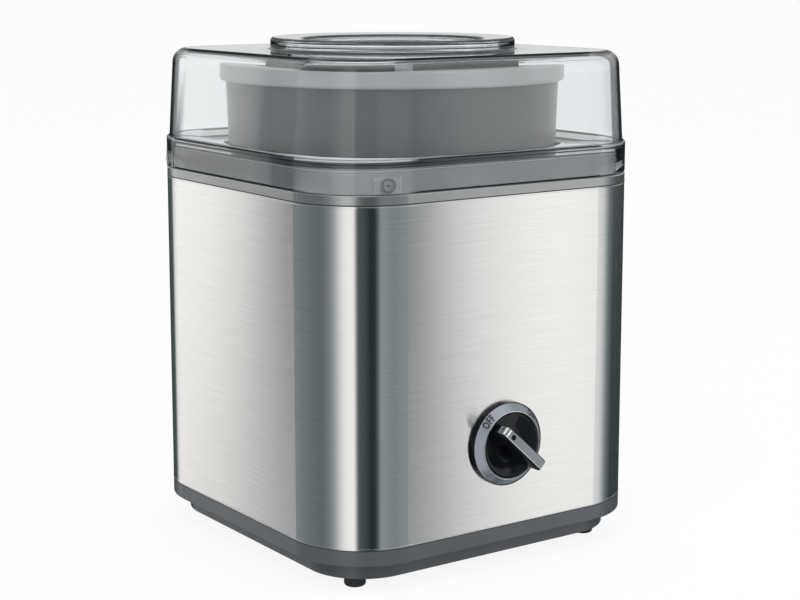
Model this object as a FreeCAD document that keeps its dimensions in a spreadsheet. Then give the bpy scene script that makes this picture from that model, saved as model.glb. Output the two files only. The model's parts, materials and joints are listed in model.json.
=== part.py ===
"""Countertop ice cream maker: motor-driven freezer bowl under a clear lid.

Millimetres. The origin is on the table under the middle of the machine,
the dial faces -Y, the right-hand side is +X and +Z points up.

Every piece is an object of one FreeCAD document. The driving sizes live in
the spreadsheet called Sizes, and each sketch, feature and placement is bound
to its cells, so that a change of one cell carries through the whole machine.
"""
import FreeCAD
import Part
import math
import os
import Sketcher

# ---------------------------------------------------------------- sizes

DRIVING_SIZES = {
    # outside of the base
    "body_width": 210.0,
    "body_depth": 209.0,
    "corner_radius": 42.0,
    "foot_height": 6.5,
    "foot_radius": 5.8,
    "foot_setback": 26.5,
    "foot_plug_radius": 3.0,
    "plinth_inset": 9.5,
    "plinth_height": 9.7,
    "band_height": 8.6,
    "sleeve_height": 178.6,
    "sleeve_wall": 0.8,
    "seam_gap": 0.5,
    "trim_height": 5.2,
    "collar_height": 12.0,
    "spigot_depth": 7.0,
    "moulding_wall": 2.4,
    "edge_round": 0.8,
    # fits
    "seat_gap": 0.2,
    "slip_gap": 0.3,
    "running_gap": 0.05,
    # bottom cover and chassis
    "chassis_flange": 29.5,
    "cover_screw_setback": 25.0,
    "cover_screw_spread": 48.0,
    "screw_radius": 1.5,
    "screw_head_radius": 3.0,
    "screw_head_height": 2.0,
    "boss_wall": 2.8,
    "chassis_boss_height": 8.0,
    "vent_slot_width": 3.0,
    "vent_slot_length": 44.0,
    "vent_slot_count": 7.0,
    "vent_slot_pitch": 7.0,
    # well in the deck
    "well_margin": 10.5,
    "well_narrowing": 3.5,
    "well_floor_level": 104.0,
    "well_lip_width": 2.6,
    "well_lip_height": 1.4,
    "well_floor_round": 6.0,
    "tub_flange_drop": 8.0,
    "tub_screw_setback": 31.0,
    "hub_hole_radius": 9.0,
    "drip_rim_height": 2.5,
    "drip_rim_width": 2.2,
    # gear train
    "pinion_teeth": 10.0,
    "wheel_teeth": 60.0,
    "pressure_angle": 20.0,
    "first_module": 0.8,
    "second_module": 1.2,
    "profile_shift": 0.4,
    "tooth_backlash": 0.16,
    "first_face_width": 7.0,
    "second_face_width": 9.0,
    "gear_side_gap": 2.0,
    "gear_bore_radius": 2.5,
    "wheel_web": 3.0,
    "wheel_rim": 4.0,
    "wheel_hub_radius": 10.0,
    # gear case
    "case_wall": 2.5,
    "case_corner": 16.0,
    "case_mount_drop": 5.0,
    "case_screw_setback": 8.0,
    "output_shaft_radius": 6.0,
    "bush_wall": 1.5,
    "seal_height": 3.0,
    # motor
    "motor_shaft_radius": 2.0,
    "rotor_radius": 13.2,
    "rotor_air_gap": 0.6,
    "stack_height": 20.0,
    "stack_width": 50.0,
    "stack_front": 24.0,
    "motor_rear_gap": 2.4,
    "yoke_leg": 10.0,
    "window_gap": 3.0,
    "coil_build": 9.0,
    "coil_width": 26.0,
    "bridge_height": 9.0,
    "bridge_plate": 2.0,
    "bridge_width": 14.0,
    "bearing_radius": 6.0,
    "bearing_height": 6.0,
    "fan_radius": 19.0,
    "fan_height": 7.0,
    "fan_blade_count": 7.0,
    "fan_blade_thickness": 1.4,
    "fan_hub_radius": 5.0,
    # drive hub and bowl socket
    "drive_hub_radius": 26.0,
    "drive_hub_height": 9.0,
    "drive_lug_count": 3.0,
    "drive_lug_width": 8.0,
    "drive_lug_height": 6.0,
    "socket_gap": 1.0,
    # freezer bowl
    "bowl_float": 6.0,
    "bowl_lid_gap": 4.9,
    "bowl_side_gap": 1.8,
    "bowl_foot_gap": 3.0,
    "bowl_wall": 2.2,
    "bowl_foot_round": 7.0,
    "rim_overhang": 3.3,
    "rim_height": 9.3,
    "rim_wall": 2.0,
    "coolant_top_width": 16.7,
    "coolant_foot_width": 15.5,
    "liner_wall": 1.2,
    "liner_floor_rise": 24.0,
    "liner_floor_round": 8.0,
    "gasket_height": 1.6,
    "gasket_width": 4.0,
    # lid
    "lid_height": 66.9,
    "lid_wall": 2.4,
    "skirt_height": 17.3,
    "skirt_step": 1.6,
    "lid_draft": 2.4,
    "lid_edge_round": 8.0,
    "ring_setback": 7.1,
    "ring_width": 19.7,
    "ring_height": 6.7,
    "ring_lip_depth": 5.5,
    "ring_round": 2.0,
    "lock_collar_step": 1.6,
    "lock_collar_depth": 8.0,
    "lock_notch_width": 9.0,
    "latch_turn": 15.0,
    "latch_level": 4.4,
    "latch_radius": 3.9,
    "latch_dish_radius": 2.8,
    "latch_rise": 0.7,
    "latch_seat_width": 15.0,
    "latch_seat_height": 8.8,
    "latch_seat_rise": 0.2,
    # paddle
    "paddle_ring_wall": 4.0,
    "paddle_ring_height": 7.0,
    "paddle_thickness": 4.0,
    "paddle_rail": 9.0,
    "paddle_wall_gap": 1.2,
    "paddle_floor_gap": 1.5,
    "paddle_foot_radius": 9.0,
    "paddle_wing_reach": 22.0,
    "paddle_wing_height": 60.0,
    # dial
    "dial_level": 70.5,
    "bezel_radius": 22.5,
    "bezel_inner_radius": 18.0,
    "bezel_side_height": 3.0,
    "bezel_height": 6.3,
    "bezel_web": 1.8,
    "knob_gap": 0.5,
    "knob_rim_level": 5.2,
    "knob_dish": 1.3,
    "knob_skin": 1.6,
    "knob_hub_radius": 5.0,
    "knob_rest_angle": 45.0,
    "grip_thickness": 6.5,
    "grip_nose": 16.3,
    "grip_nose_lean": 1.3,
    "grip_tail": 14.3,
    "grip_tail_lean": 1.5,
    "grip_nose_level": 15.8,
    "grip_tail_level": 20.0,
    "grip_tail_drop": 8.0,
    "grip_trim_thickness": 0.8,
    "grip_trim_foot": 7.0,
    "spindle_radius": 3.0,
    "switch_width": 26.0,
    "switch_depth": 19.0,
    "bracket_wall": 1.2,
    "bracket_height": 34.0,
    "switch_screw_offset": 13.5,
    # mains entry
    "cord_entry_level": 42.0,
    "cord_entry_setback": 14.5,
    "cord_hole_radius": 4.0,
    "bushing_radius": 6.5,
    "bushing_flange": 2.0,
    "bushing_flange_width": 2.2,
    "terminal_width": 34.0,
    "terminal_depth": 14.0,
    "terminal_height": 12.0,
    "terminal_pole_count": 3.0,
}


class Size:
    """A number together with the spreadsheet formula that gives it."""

    def __init__(self, number, formula):
        self.number = number
        self.formula = formula

    def __add__(self, other):
        other = as_size(other)
        return Size(self.number + other.number, f"({self.formula} + {other.formula})")

    def __sub__(self, other):
        other = as_size(other)
        return Size(self.number - other.number, f"({self.formula} - {other.formula})")

    def __mul__(self, other):
        other = as_size(other)
        return Size(self.number * other.number, f"({self.formula} * {other.formula})")

    def __truediv__(self, other):
        other = as_size(other)
        return Size(self.number / other.number, f"({self.formula} / {other.formula})")

    def __rsub__(self, other):
        return as_size(other) - self

    def __neg__(self):
        return Size(-self.number, f"(0 - {self.formula})")

    __radd__ = __add__
    __rmul__ = __mul__


def as_size(value):
    """Take a Size as it is, and a plain number as a Size without a cell."""
    if isinstance(value, Size):
        return value
    return Size(float(value), f"({float(value)!r})")


def smaller(first, second):
    """The smaller of two sizes, as a number and as a formula."""
    return Size(min(first.number, second.number), f"min({first.formula}; {second.formula})")


class SizeSheet:
    """The Sizes spreadsheet: an attribute of this object is one of its cells."""

    def __init__(self, document, driving_sizes):
        self.cells = document.addObject("Spreadsheet::Sheet", "Sizes")
        for row, (alias, number) in enumerate(driving_sizes.items(), start=1):
            self.cells.set(f"A{row}", alias)
            self.cells.set(f"B{row}", str(number))
            self.cells.setAlias(f"B{row}", alias)
        document.recompute()

    def __getattr__(self, alias):
        return Size(float(self.cells.get(alias)), f"Sizes.{alias}")


doc = FreeCAD.newDocument("IceCreamMaker")
s = SizeSheet(doc, DRIVING_SIZES)

# ------------------------------------------------- levels and shared places

ZERO = as_size(0)
QUARTER_TURN = as_size(90)

plinth_bottom = s.foot_height
plinth_top = plinth_bottom + s.plinth_height
band_top = plinth_top + s.band_height
sleeve_top = band_top + s.sleeve_height
trim_top = sleeve_top + s.trim_height
deck_top = trim_top + s.collar_height
deck_underside = deck_top - s.moulding_wall
lid_bottom = trim_top + s.seat_gap
lid_top = trim_top + s.lid_height
lid_ceiling = lid_top - s.lid_wall
ring_top = lid_top + s.ring_height
lock_collar_bottom = lid_ceiling - s.lock_collar_depth

front_face = -s.body_depth / 2
back_face = s.body_depth / 2
spigot_inset = s.sleeve_wall + s.running_gap
collar_inset = s.lid_wall + s.slip_gap
rear_panel_half_width = s.body_width / 2 - s.corner_radius - s.seam_gap
cord_entry_offset = rear_panel_half_width - s.cord_entry_setback
cover_floor_top = plinth_bottom + s.moulding_wall
flange_top = plinth_top + s.moulding_wall
boss_radius = s.screw_radius + s.boss_wall

well_floor_top = s.well_floor_level
well_floor_bottom = well_floor_top - s.moulding_wall
tub_flange_top = deck_underside - s.tub_flange_drop
tub_flange_bottom = tub_flange_top - s.moulding_wall

# Well, bowl, liner and the lid's ring stand one inside the other, so each
# radius comes from the one around it.
well_top_radius = smaller(s.body_width, s.body_depth) / 2 - s.well_margin
well_bottom_radius = well_top_radius - s.well_narrowing
bowl_top_radius = well_top_radius - s.bowl_side_gap
bowl_bottom_radius = well_bottom_radius - s.bowl_foot_gap
rim_radius = bowl_top_radius + s.rim_overhang
liner_top_radius = bowl_top_radius - s.coolant_top_width
liner_bottom_radius = bowl_bottom_radius - s.coolant_foot_width
ring_radius = liner_top_radius - s.ring_setback
ring_opening = ring_radius - s.ring_width
lock_collar_radius = ring_radius + s.lock_collar_step

# The gear case hangs under the well, and its levels run downwards from there.
case_top = well_floor_bottom - s.case_mount_drop
case_ceiling = case_top - s.case_wall
output_wheel_top = case_ceiling - s.gear_side_gap
output_wheel_bottom = output_wheel_top - s.second_face_width
first_wheel_top = output_wheel_bottom - s.gear_side_gap
first_wheel_bottom = first_wheel_top - s.first_face_width
case_floor_top = first_wheel_bottom - s.gear_side_gap
case_bottom = case_floor_top - s.case_wall

# The output shaft is the bowl's axis. The first reduction's pin stands behind
# it, and the motor shaft to the left of that pin.
tooth_sum = (s.pinion_teeth + s.wheel_teeth) / 2
first_centre_distance = s.first_module * tooth_sum
second_centre_distance = s.second_module * tooth_sum
reduction_y = second_centre_distance
motor_x = -first_centre_distance
motor_y = second_centre_distance
coil_back = back_face - s.sleeve_wall - s.motor_rear_gap - motor_y
stack_back = coil_back - s.coil_build - s.slip_gap - s.yoke_leg
wheel_addendum = 1 - s.profile_shift
first_wheel_tip = s.first_module * (s.wheel_teeth / 2 + wheel_addendum)
output_wheel_tip = s.second_module * (s.wheel_teeth / 2 + wheel_addendum)
case_half_width = output_wheel_tip + s.gear_side_gap + s.case_wall
case_front = -case_half_width
case_back = reduction_y + first_wheel_tip + s.gear_side_gap + s.case_wall

# The motor hangs under the gear case: bridge, stack, bridge, fan.
upper_bridge_top = case_bottom
stack_top = upper_bridge_top - s.bridge_height
stack_bottom = stack_top - s.stack_height
lower_bridge_bottom = stack_bottom - s.bridge_height
fan_top = lower_bridge_bottom - s.gear_side_gap / 2
fan_bottom = fan_top - s.fan_height
rotor_bore = s.rotor_radius + s.rotor_air_gap

hub_bottom = well_floor_top + s.drip_rim_height + s.seat_gap * 2
hub_top = hub_bottom + s.drive_hub_height
bowl_bottom = well_floor_top + s.bowl_float
bowl_top = lid_ceiling - s.bowl_lid_gap
rim_bottom = bowl_top - s.rim_height
socket_ceiling = hub_top + s.seat_gap
socket_radius = s.drive_hub_radius + s.socket_gap
liner_floor_top = bowl_bottom + s.liner_floor_rise
bowl_taper = (bowl_top_radius - bowl_bottom_radius) / (rim_bottom - bowl_bottom)
liner_taper = (liner_top_radius - liner_bottom_radius) / (bowl_top - liner_floor_top)


# ---------------------------------------------------------------- helpers

def bind(target, path, size):
    """Tie a property or a constraint to its spreadsheet formula."""
    target.setExpression(path, as_size(size).formula)


def new_body(label):
    """Start one sub-part as a PartDesign body."""
    body = doc.addObject("PartDesign::Body", label)
    body.Label = label
    return body


def place(piece, x=ZERO, y=ZERO, z=ZERO):
    """Put a finished piece at its place in the machine."""
    for axis, size in zip("xyz", (x, y, z)):
        bind(piece, f"Placement.Base.{axis}", size)
    return piece


def new_sketch(body, name, plane="XY_Plane", offset=ZERO):
    """Attach a sketch to one of the body's own origin planes."""
    sketch = body.newObject("Sketcher::SketchObject", name)
    support = [face for face in body.Origin.OriginFeatures if face.Role == plane][0]
    sketch.AttachmentSupport = [(support, "")]
    sketch.MapMode = "FlatFace"
    bind(sketch, "AttachmentOffset.Base.z", offset)
    return sketch


def fix(sketch, kind, geometry, vertex, size):
    """Dimension a point of the sketch from the sketch's origin."""
    size = as_size(size)
    constraint = Sketcher.Constraint(kind, -1, 1, geometry, vertex, size.number)
    index = sketch.addConstraint(constraint)
    bind(sketch, f"Constraints[{index}]", size)


def fix_point(sketch, geometry, vertex, point):
    """Dimension both coordinates of a point."""
    fix(sketch, "DistanceX", geometry, vertex, point[0])
    fix(sketch, "DistanceY", geometry, vertex, point[1])


def numbers(point):
    """Turn a pair of sizes into a vector for the sketch's first drawing."""
    return FreeCAD.Vector(as_size(point[0]).number, as_size(point[1]).number, 0)


def draw_polygon(sketch, points):
    """Draw a closed outline whose corners are dimensioned one by one."""
    count = len(points)
    first = sketch.GeometryCount
    for index, point in enumerate(points):
        following = points[(index + 1) % count]
        sketch.addGeometry(Part.LineSegment(numbers(point), numbers(following)))
    for index, point in enumerate(points):
        following = first + (index + 1) % count
        sketch.addConstraint(Sketcher.Constraint("Coincident", first + index, 2, following, 1))
        fix_point(sketch, first + index, 1, point)


def draw_rectangle(sketch, x_low, x_high, y_low, y_high):
    """Draw an upright rectangle."""
    draw_polygon(sketch, [(x_low, y_low), (x_high, y_low), (x_high, y_high), (x_low, y_high)])


def draw_circles(sketch, centres, radius):
    """Draw equal circles."""
    radius = as_size(radius)
    for centre in centres:
        circle = Part.Circle(numbers(centre), FreeCAD.Vector(0, 0, 1), radius.number)
        index = sketch.addGeometry(circle)
        fix_point(sketch, index, 3, centre)
        constraint = sketch.addConstraint(Sketcher.Constraint("Radius", index, radius.number))
        bind(sketch, f"Constraints[{constraint}]", radius)


def draw_rounded_rectangle(sketch, x_low, x_high, y_low, y_high, radius):
    """Draw four sides and four tangent corner arcs."""
    first = sketch.GeometryCount
    left, right = as_size(x_low).number, as_size(x_high).number
    low, high = as_size(y_low).number, as_size(y_high).number
    r = as_size(radius).number
    sides = [
        ((left + r, low), (right - r, low)),
        ((right, low + r), (right, high - r)),
        ((right - r, high), (left + r, high)),
        ((left, high - r), (left, low + r)),
    ]
    corners = [(right - r, low + r), (right - r, high - r), (left + r, high - r), (left + r, low + r)]
    for start, end in sides:
        sketch.addGeometry(Part.LineSegment(numbers(start), numbers(end)))
    for index, corner in enumerate(corners):
        circle = Part.Circle(numbers(corner), FreeCAD.Vector(0, 0, 1), r)
        start = (index - 1) * math.pi / 2
        sketch.addGeometry(Part.ArcOfCircle(circle, start, start + math.pi / 2))
    for index in range(4):
        side = first + index
        arc = first + 4 + index
        following = first + (index + 1) % 4
        direction = "Vertical" if index % 2 else "Horizontal"
        sketch.addConstraint(Sketcher.Constraint(direction, side))
        sketch.addConstraint(Sketcher.Constraint("Tangent", side, 2, arc, 1))
        sketch.addConstraint(Sketcher.Constraint("Tangent", arc, 2, following, 1))
        if index:
            sketch.addConstraint(Sketcher.Constraint("Equal", first + 4, arc))
    fix(sketch, "DistanceY", first, 1, y_low)
    fix(sketch, "DistanceX", first + 1, 1, x_high)
    fix(sketch, "DistanceY", first + 2, 1, y_high)
    fix(sketch, "DistanceX", first + 3, 1, x_low)
    constraint = sketch.addConstraint(Sketcher.Constraint("Radius", first + 4, r))
    bind(sketch, f"Constraints[{constraint}]", radius)


def draw_body_outline(sketch, inset):
    """Draw the machine's rounded square, moved inwards by the inset."""
    half_width = s.body_width / 2 - inset
    half_depth = s.body_depth / 2 - inset
    draw_rounded_rectangle(
        sketch, -half_width, half_width, -half_depth, half_depth, s.corner_radius - inset)


def pad(body, sketch, length, taper=None, midplane=False, backwards=False):
    """Raise a sketch into the body."""
    feature = body.newObject("PartDesign::Pad", "Pad")
    feature.Profile = sketch
    feature.Midplane = midplane
    feature.Reversed = backwards
    bind(feature, "Length", length)
    if taper is not None:
        bind(feature, "TaperAngle", taper)
    return feature


def pocket(body, sketch, length, backwards=False, midplane=False):
    """Cut a sketch out of the body: against the sketch's normal unless backwards."""
    feature = body.newObject("PartDesign::Pocket", "Pocket")
    feature.Profile = sketch
    feature.Reversed = backwards
    feature.Midplane = midplane
    bind(feature, "Length", length)
    return feature


def pad_outline(body, name, inset, bottom, top, taper=None):
    """Raise the machine's rounded square between two levels."""
    sketch = new_sketch(body, name, offset=bottom)
    draw_body_outline(sketch, inset)
    return pad(body, sketch, top - bottom, taper)


def cut_outline(body, name, inset, bottom, top):
    """Cut the machine's rounded square between two levels."""
    sketch = new_sketch(body, name, offset=top)
    draw_body_outline(sketch, inset)
    return pocket(body, sketch, top - bottom)


def pad_circles(body, name, centres, radius, bottom, top):
    """Raise equal round bosses between two levels."""
    sketch = new_sketch(body, name, offset=bottom)
    draw_circles(sketch, centres, radius)
    return pad(body, sketch, top - bottom)


def cut_circles(body, name, centres, radius, bottom, top):
    """Bore equal holes between two levels."""
    sketch = new_sketch(body, name, offset=top)
    draw_circles(sketch, centres, radius)
    return pocket(body, sketch, top - bottom)


def revolve(body, name, points, plane="XZ_Plane", axis="V_Axis"):
    """Turn an outline of (radius, level) points round the body's axis."""
    sketch = new_sketch(body, name, plane)
    draw_polygon(sketch, points)
    return turn_sketch(body, sketch, axis)


def turn_sketch(body, sketch, axis):
    """Turn a finished sketch all the way round one of its axes."""
    feature = body.newObject("PartDesign::Revolution", "Turning")
    feature.Profile = sketch
    feature.ReferenceAxis = (sketch, [axis])
    feature.Angle = 360
    return feature


def repeat_round(body, feature, count):
    """Repeat a feature round the body's upright axis."""
    pattern = body.newObject("PartDesign::PolarPattern", "Pattern")
    pattern.Originals = [feature]
    axis = [line for line in body.Origin.OriginFeatures if line.Role == "Z_Axis"][0]
    pattern.Axis = (axis, [""])
    pattern.Angle = 360
    bind(pattern, "Occurrences", count)
    body.Tip = pattern
    return pattern


def round_edges(body, radius, wanted):
    """Fillet the edges of the body's tip that the test picks."""
    doc.recompute()
    tip = body.Tip
    names = [f"Edge{n}" for n, edge in enumerate(tip.Shape.Edges, start=1) if wanted(edge)]
    if not names:
        raise ValueError(f"{body.Label}: no edge to round")
    feature = body.newObject("PartDesign::Fillet", "Round")
    feature.Base = (tip, names)
    bind(feature, "Radius", radius)
    return feature


def level_edge(level, least_reach=ZERO):
    """Test for edges that lie at one level, at least so far from the axis."""
    def wanted(edge):
        box = edge.BoundBox
        flat = abs(box.ZMin - level.number) < 0.01 and abs(box.ZMax - level.number) < 0.01
        middle = edge.valueAt((edge.FirstParameter + edge.LastParameter) / 2)
        return flat and math.hypot(middle.x, middle.y) >= least_reach.number
    return wanted


def ring_edge(radius, level):
    """Test for circles and arcs of this radius at this level."""
    def wanted(edge):
        if not isinstance(edge.Curve, Part.Circle):
            return False
        same_radius = abs(edge.Curve.Radius - radius.number) < 0.01
        return same_radius and abs(edge.Curve.Center.z - level.number) < 0.01
    return wanted


def either(*tests):
    """Test for edges that pass any of the tests."""
    return lambda edge: any(test(edge) for test in tests)


def four_points(x, y):
    """Four places, mirrored across both middle planes."""
    return [(-x, -y), (x, -y), (x, y), (-x, y)]


def corner_points(setback):
    """Four places, set back by the same amount from the body's sides."""
    return four_points(s.body_width / 2 - setback, s.body_depth / 2 - setback)


def cover_screw_places():
    """Four screws of the bottom cover, near the left and right sides."""
    return four_points(s.body_width / 2 - s.cover_screw_setback, s.cover_screw_spread)


# ---------------------------------------------------------------- base shell

def make_feet():
    """Four rubber feet, plugged into the bottom cover."""
    names = ["foot_front_left", "foot_front_right", "foot_rear_right", "foot_rear_left"]
    for name, (x, y) in zip(names, corner_points(s.foot_setback)):
        body = new_body(name)
        plug = s.foot_plug_radius - s.running_gap
        revolve(body, "Profile", [
            (ZERO, ZERO), (s.foot_radius, ZERO), (s.foot_radius, plinth_bottom),
            (plug, plinth_bottom), (plug, cover_floor_top), (ZERO, cover_floor_top)])
        round_edges(body, s.edge_round * 2, ring_edge(s.foot_radius, ZERO))
        place(body, x, y)


def make_bottom_cover():
    """Stepped-in plinth: a tray that closes the base, with vents under the fan."""
    body = new_body("bottom_cover")
    pad_outline(body, "Outline", s.plinth_inset, plinth_bottom, plinth_top)
    round_edges(body, s.edge_round, level_edge(plinth_bottom))
    cut_outline(body, "Inside", s.plinth_inset + s.moulding_wall, cover_floor_top, plinth_top)
    screws = cover_screw_places()
    pad_circles(body, "ScrewPosts", screws, boss_radius, plinth_bottom, plinth_top)
    hole = s.screw_radius + s.running_gap
    cut_circles(body, "ScrewHoles", screws, hole, plinth_bottom, plinth_top)
    head = s.screw_head_radius + s.slip_gap
    sink = plinth_bottom + s.screw_head_height
    cut_circles(body, "HeadRecesses", screws, head, plinth_bottom, sink)
    feet = corner_points(s.foot_setback)
    cut_circles(body, "FootSockets", feet, s.foot_plug_radius, plinth_bottom, cover_floor_top)
    slot = new_sketch(body, "VentSlot", offset=cover_floor_top)
    first_y = motor_y - s.vent_slot_pitch * (s.vent_slot_count - 1) / 2
    draw_rectangle(
        slot, motor_x - s.vent_slot_length / 2, motor_x + s.vent_slot_length / 2,
        first_y - s.vent_slot_width / 2, first_y + s.vent_slot_width / 2)
    opening = pocket(body, slot, s.moulding_wall)
    pattern = body.newObject("PartDesign::LinearPattern", "VentRow")
    pattern.Originals = [opening]
    y_axis = [line for line in body.Origin.OriginFeatures if line.Role == "Y_Axis"][0]
    pattern.Direction = (y_axis, [""])
    bind(pattern, "Length", s.vent_slot_pitch * (s.vent_slot_count - 1))
    bind(pattern, "Occurrences", s.vent_slot_count)
    body.Tip = pattern


def make_cover_screws():
    """Four screws that hold the bottom cover to the chassis."""
    body = new_body("cover_screws")
    screws = cover_screw_places()
    top = flange_top + s.chassis_boss_height - s.boss_wall
    pad_circles(body, "Shanks", screws, s.screw_radius, plinth_bottom, top)
    head_top = plinth_bottom + s.screw_head_height
    pad_circles(body, "Heads", screws, s.screw_head_radius, plinth_bottom, head_top)


def make_chassis():
    """Lower band: a moulded ring that carries the sleeve and takes the cover."""
    body = new_body("chassis_band")
    pad_outline(body, "Band", ZERO, plinth_top, band_top)
    round_edges(body, s.edge_round, level_edge(plinth_top))
    round_edges(body, s.edge_round / 2, level_edge(band_top))
    pad_outline(body, "Spigot", spigot_inset, band_top, band_top + s.spigot_depth)
    inner = spigot_inset + s.moulding_wall
    cut_outline(body, "Inside", inner, flange_top, band_top + s.spigot_depth)
    cut_outline(body, "Opening", s.plinth_inset + s.chassis_flange, plinth_top, flange_top)
    screws = cover_screw_places()
    boss_top = flange_top + s.chassis_boss_height
    pad_circles(body, "ScrewBosses", screws, boss_radius, plinth_top, boss_top)
    hole = s.screw_radius + s.running_gap
    cut_circles(body, "PilotHoles", screws, hole, plinth_top, boss_top - s.boss_wall / 2)


def make_sleeve():
    """Stainless wrap round the front and the sides, open between its ends at the back."""
    body = new_body("steel_sleeve")
    sketch = new_sketch(body, "Wrap", offset=band_top)
    draw_body_outline(sketch, ZERO)
    draw_body_outline(sketch, s.sleeve_wall)
    pad(body, sketch, s.sleeve_height)
    opening = new_sketch(body, "BackOpening", "XZ_Plane", -back_face)
    half_opening = rear_panel_half_width + s.seam_gap
    draw_rectangle(opening, -half_opening, half_opening, band_top, sleeve_top)
    pocket(body, opening, s.sleeve_wall * 2, midplane=True)
    dial = new_sketch(body, "DialHoles", "XZ_Plane", -front_face)
    draw_circles(dial, [(ZERO, s.dial_level)], s.knob_hub_radius + s.knob_gap)
    screw_places = [(-s.switch_screw_offset, s.dial_level), (s.switch_screw_offset, s.dial_level)]
    draw_circles(dial, screw_places, boss_radius - s.boss_wall / 2 + s.running_gap)
    pocket(body, dial, s.sleeve_wall * 2, midplane=True)


def make_rear_panel():
    """Flat steel panel that closes the back between the sleeve's two ends."""
    body = new_body("rear_panel")
    sketch = new_sketch(body, "Panel", "XZ_Plane", -back_face)
    draw_rectangle(
        sketch, -rear_panel_half_width, rear_panel_half_width, band_top, sleeve_top)
    cord_place = [(cord_entry_offset, s.cord_entry_level)]
    draw_circles(sketch, cord_place, s.bushing_radius + s.running_gap)
    pad(body, sketch, s.sleeve_wall)


def make_deck():
    """Top moulding: trim band, collar for the lid, and the plate round the well."""
    body = new_body("top_deck")
    pad_outline(body, "Spigot", spigot_inset, sleeve_top - s.spigot_depth, sleeve_top)
    pad_outline(body, "Trim", ZERO, sleeve_top, trim_top)
    round_edges(body, s.edge_round, level_edge(trim_top, s.body_depth / 2 - s.edge_round))
    round_edges(body, s.edge_round / 2, ring_edge(s.corner_radius, sleeve_top))
    pad_outline(body, "Collar", collar_inset, trim_top, deck_top)
    collar_reach = s.body_depth / 2 - collar_inset - s.edge_round
    round_edges(body, s.edge_round, level_edge(deck_top, collar_reach))
    inner = collar_inset + s.moulding_wall
    cut_outline(body, "Inside", inner, sleeve_top - s.spigot_depth, deck_underside)
    lip = well_top_radius + s.well_lip_width
    pad_circles(body, "WellLip", [(ZERO, ZERO)], lip, deck_underside, deck_top + s.well_lip_height)
    posts = corner_points(s.tub_screw_setback)
    pad_circles(body, "ScrewPosts", posts, boss_radius, tub_flange_top, deck_underside)
    hole = s.screw_radius + s.running_gap
    cut_circles(body, "PilotHoles", posts, hole, tub_flange_top, deck_underside - s.seat_gap)
    well_top = deck_top + s.well_lip_height
    cut_circles(body, "Well", [(ZERO, ZERO)], well_top_radius, deck_underside, well_top)
    round_edges(body, s.edge_round / 2, either(
        ring_edge(well_top_radius, well_top), ring_edge(lip, well_top)))


def make_well_tub():
    """Drum that hangs from the deck, holds the bowl and carries the gear case."""
    body = new_body("well_tub")
    top = well_top_radius
    bottom = well_bottom_radius
    wall = s.moulding_wall
    revolve(body, "Profile", [
        (s.hub_hole_radius, well_floor_bottom), (bottom + wall, well_floor_bottom),
        (top + wall, deck_underside), (top, deck_underside), (bottom, well_floor_top),
        (s.hub_hole_radius + s.drip_rim_width, well_floor_top),
        (s.hub_hole_radius + s.drip_rim_width, well_floor_top + s.drip_rim_height),
        (s.hub_hole_radius, well_floor_top + s.drip_rim_height)])
    round_edges(body, s.well_floor_round, ring_edge(bottom, well_floor_top))
    round_edges(body, s.well_floor_round, ring_edge(bottom + wall, well_floor_bottom))
    flange = new_sketch(body, "Flange", offset=tub_flange_bottom)
    draw_body_outline(flange, collar_inset + wall + s.slip_gap)
    draw_circles(flange, [(ZERO, ZERO)], well_top_radius + wall / 2)
    pad(body, flange, wall)
    screws = corner_points(s.tub_screw_setback)
    hole = s.screw_radius + s.running_gap
    cut_circles(body, "FlangeHoles", screws, hole, tub_flange_bottom, tub_flange_top)
    places = case_screw_places()
    pad_circles(body, "CaseBosses", places, boss_radius, case_top, well_floor_bottom)
    cut_circles(body, "PilotHoles", places, hole, case_top, well_floor_bottom)


def make_tub_screws():
    """Four screws that hold the tub's flange up against the deck's posts."""
    body = new_body("tub_screws")
    screws = corner_points(s.tub_screw_setback)
    top = deck_underside - s.boss_wall
    pad_circles(body, "Shanks", screws, s.screw_radius, tub_flange_bottom, top)
    head_bottom = tub_flange_bottom - s.screw_head_height
    pad_circles(body, "Heads", screws, s.screw_head_radius, head_bottom, tub_flange_bottom)


# ---------------------------------------------------------------- gear case

def case_screw_places():
    """Four screws in the corners of the gear case."""
    x = case_half_width - s.case_screw_setback
    low = case_front + s.case_screw_setback
    high = case_back - s.case_screw_setback
    return [(-x, low), (x, low), (x, high), (-x, high)]


def draw_case_outline(sketch, inset):
    """Draw the gear case's outline, moved inwards by the inset."""
    draw_rounded_rectangle(
        sketch, inset - case_half_width, case_half_width - inset,
        case_front + inset, case_back - inset, s.case_corner - inset)


def make_gear_case():
    """Open box round the gears, with posts for the screws and a bearing seat."""
    body = new_body("gear_case")
    outside = new_sketch(body, "Outside", offset=case_bottom)
    draw_case_outline(outside, ZERO)
    pad(body, outside, case_ceiling - case_bottom)
    inside = new_sketch(body, "Inside", offset=case_ceiling)
    draw_case_outline(inside, s.case_wall)
    pocket(body, inside, case_ceiling - case_floor_top)
    places = case_screw_places()
    pad_circles(body, "Posts", places, boss_radius, case_floor_top, case_ceiling)
    hole = s.screw_radius + s.running_gap
    cut_circles(body, "ScrewHoles", places, hole, case_bottom, case_ceiling)
    bearing = s.output_shaft_radius + s.bush_wall
    seat_top = case_floor_top + s.gear_side_gap * 2
    pad_circles(body, "BearingSeat", [(ZERO, ZERO)], bearing + s.case_wall, case_floor_top, seat_top)
    cut_circles(body, "BearingBore", [(ZERO, ZERO)], bearing, case_floor_top, seat_top)
    pin_place = [(ZERO, reduction_y)]
    cut_circles(body, "PinSeat", pin_place, s.gear_bore_radius, case_bottom, case_floor_top)
    shaft_hole = s.bearing_radius + s.running_gap
    cut_circles(body, "MotorHole", [(motor_x, motor_y)], shaft_hole, case_bottom, case_floor_top)


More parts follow.
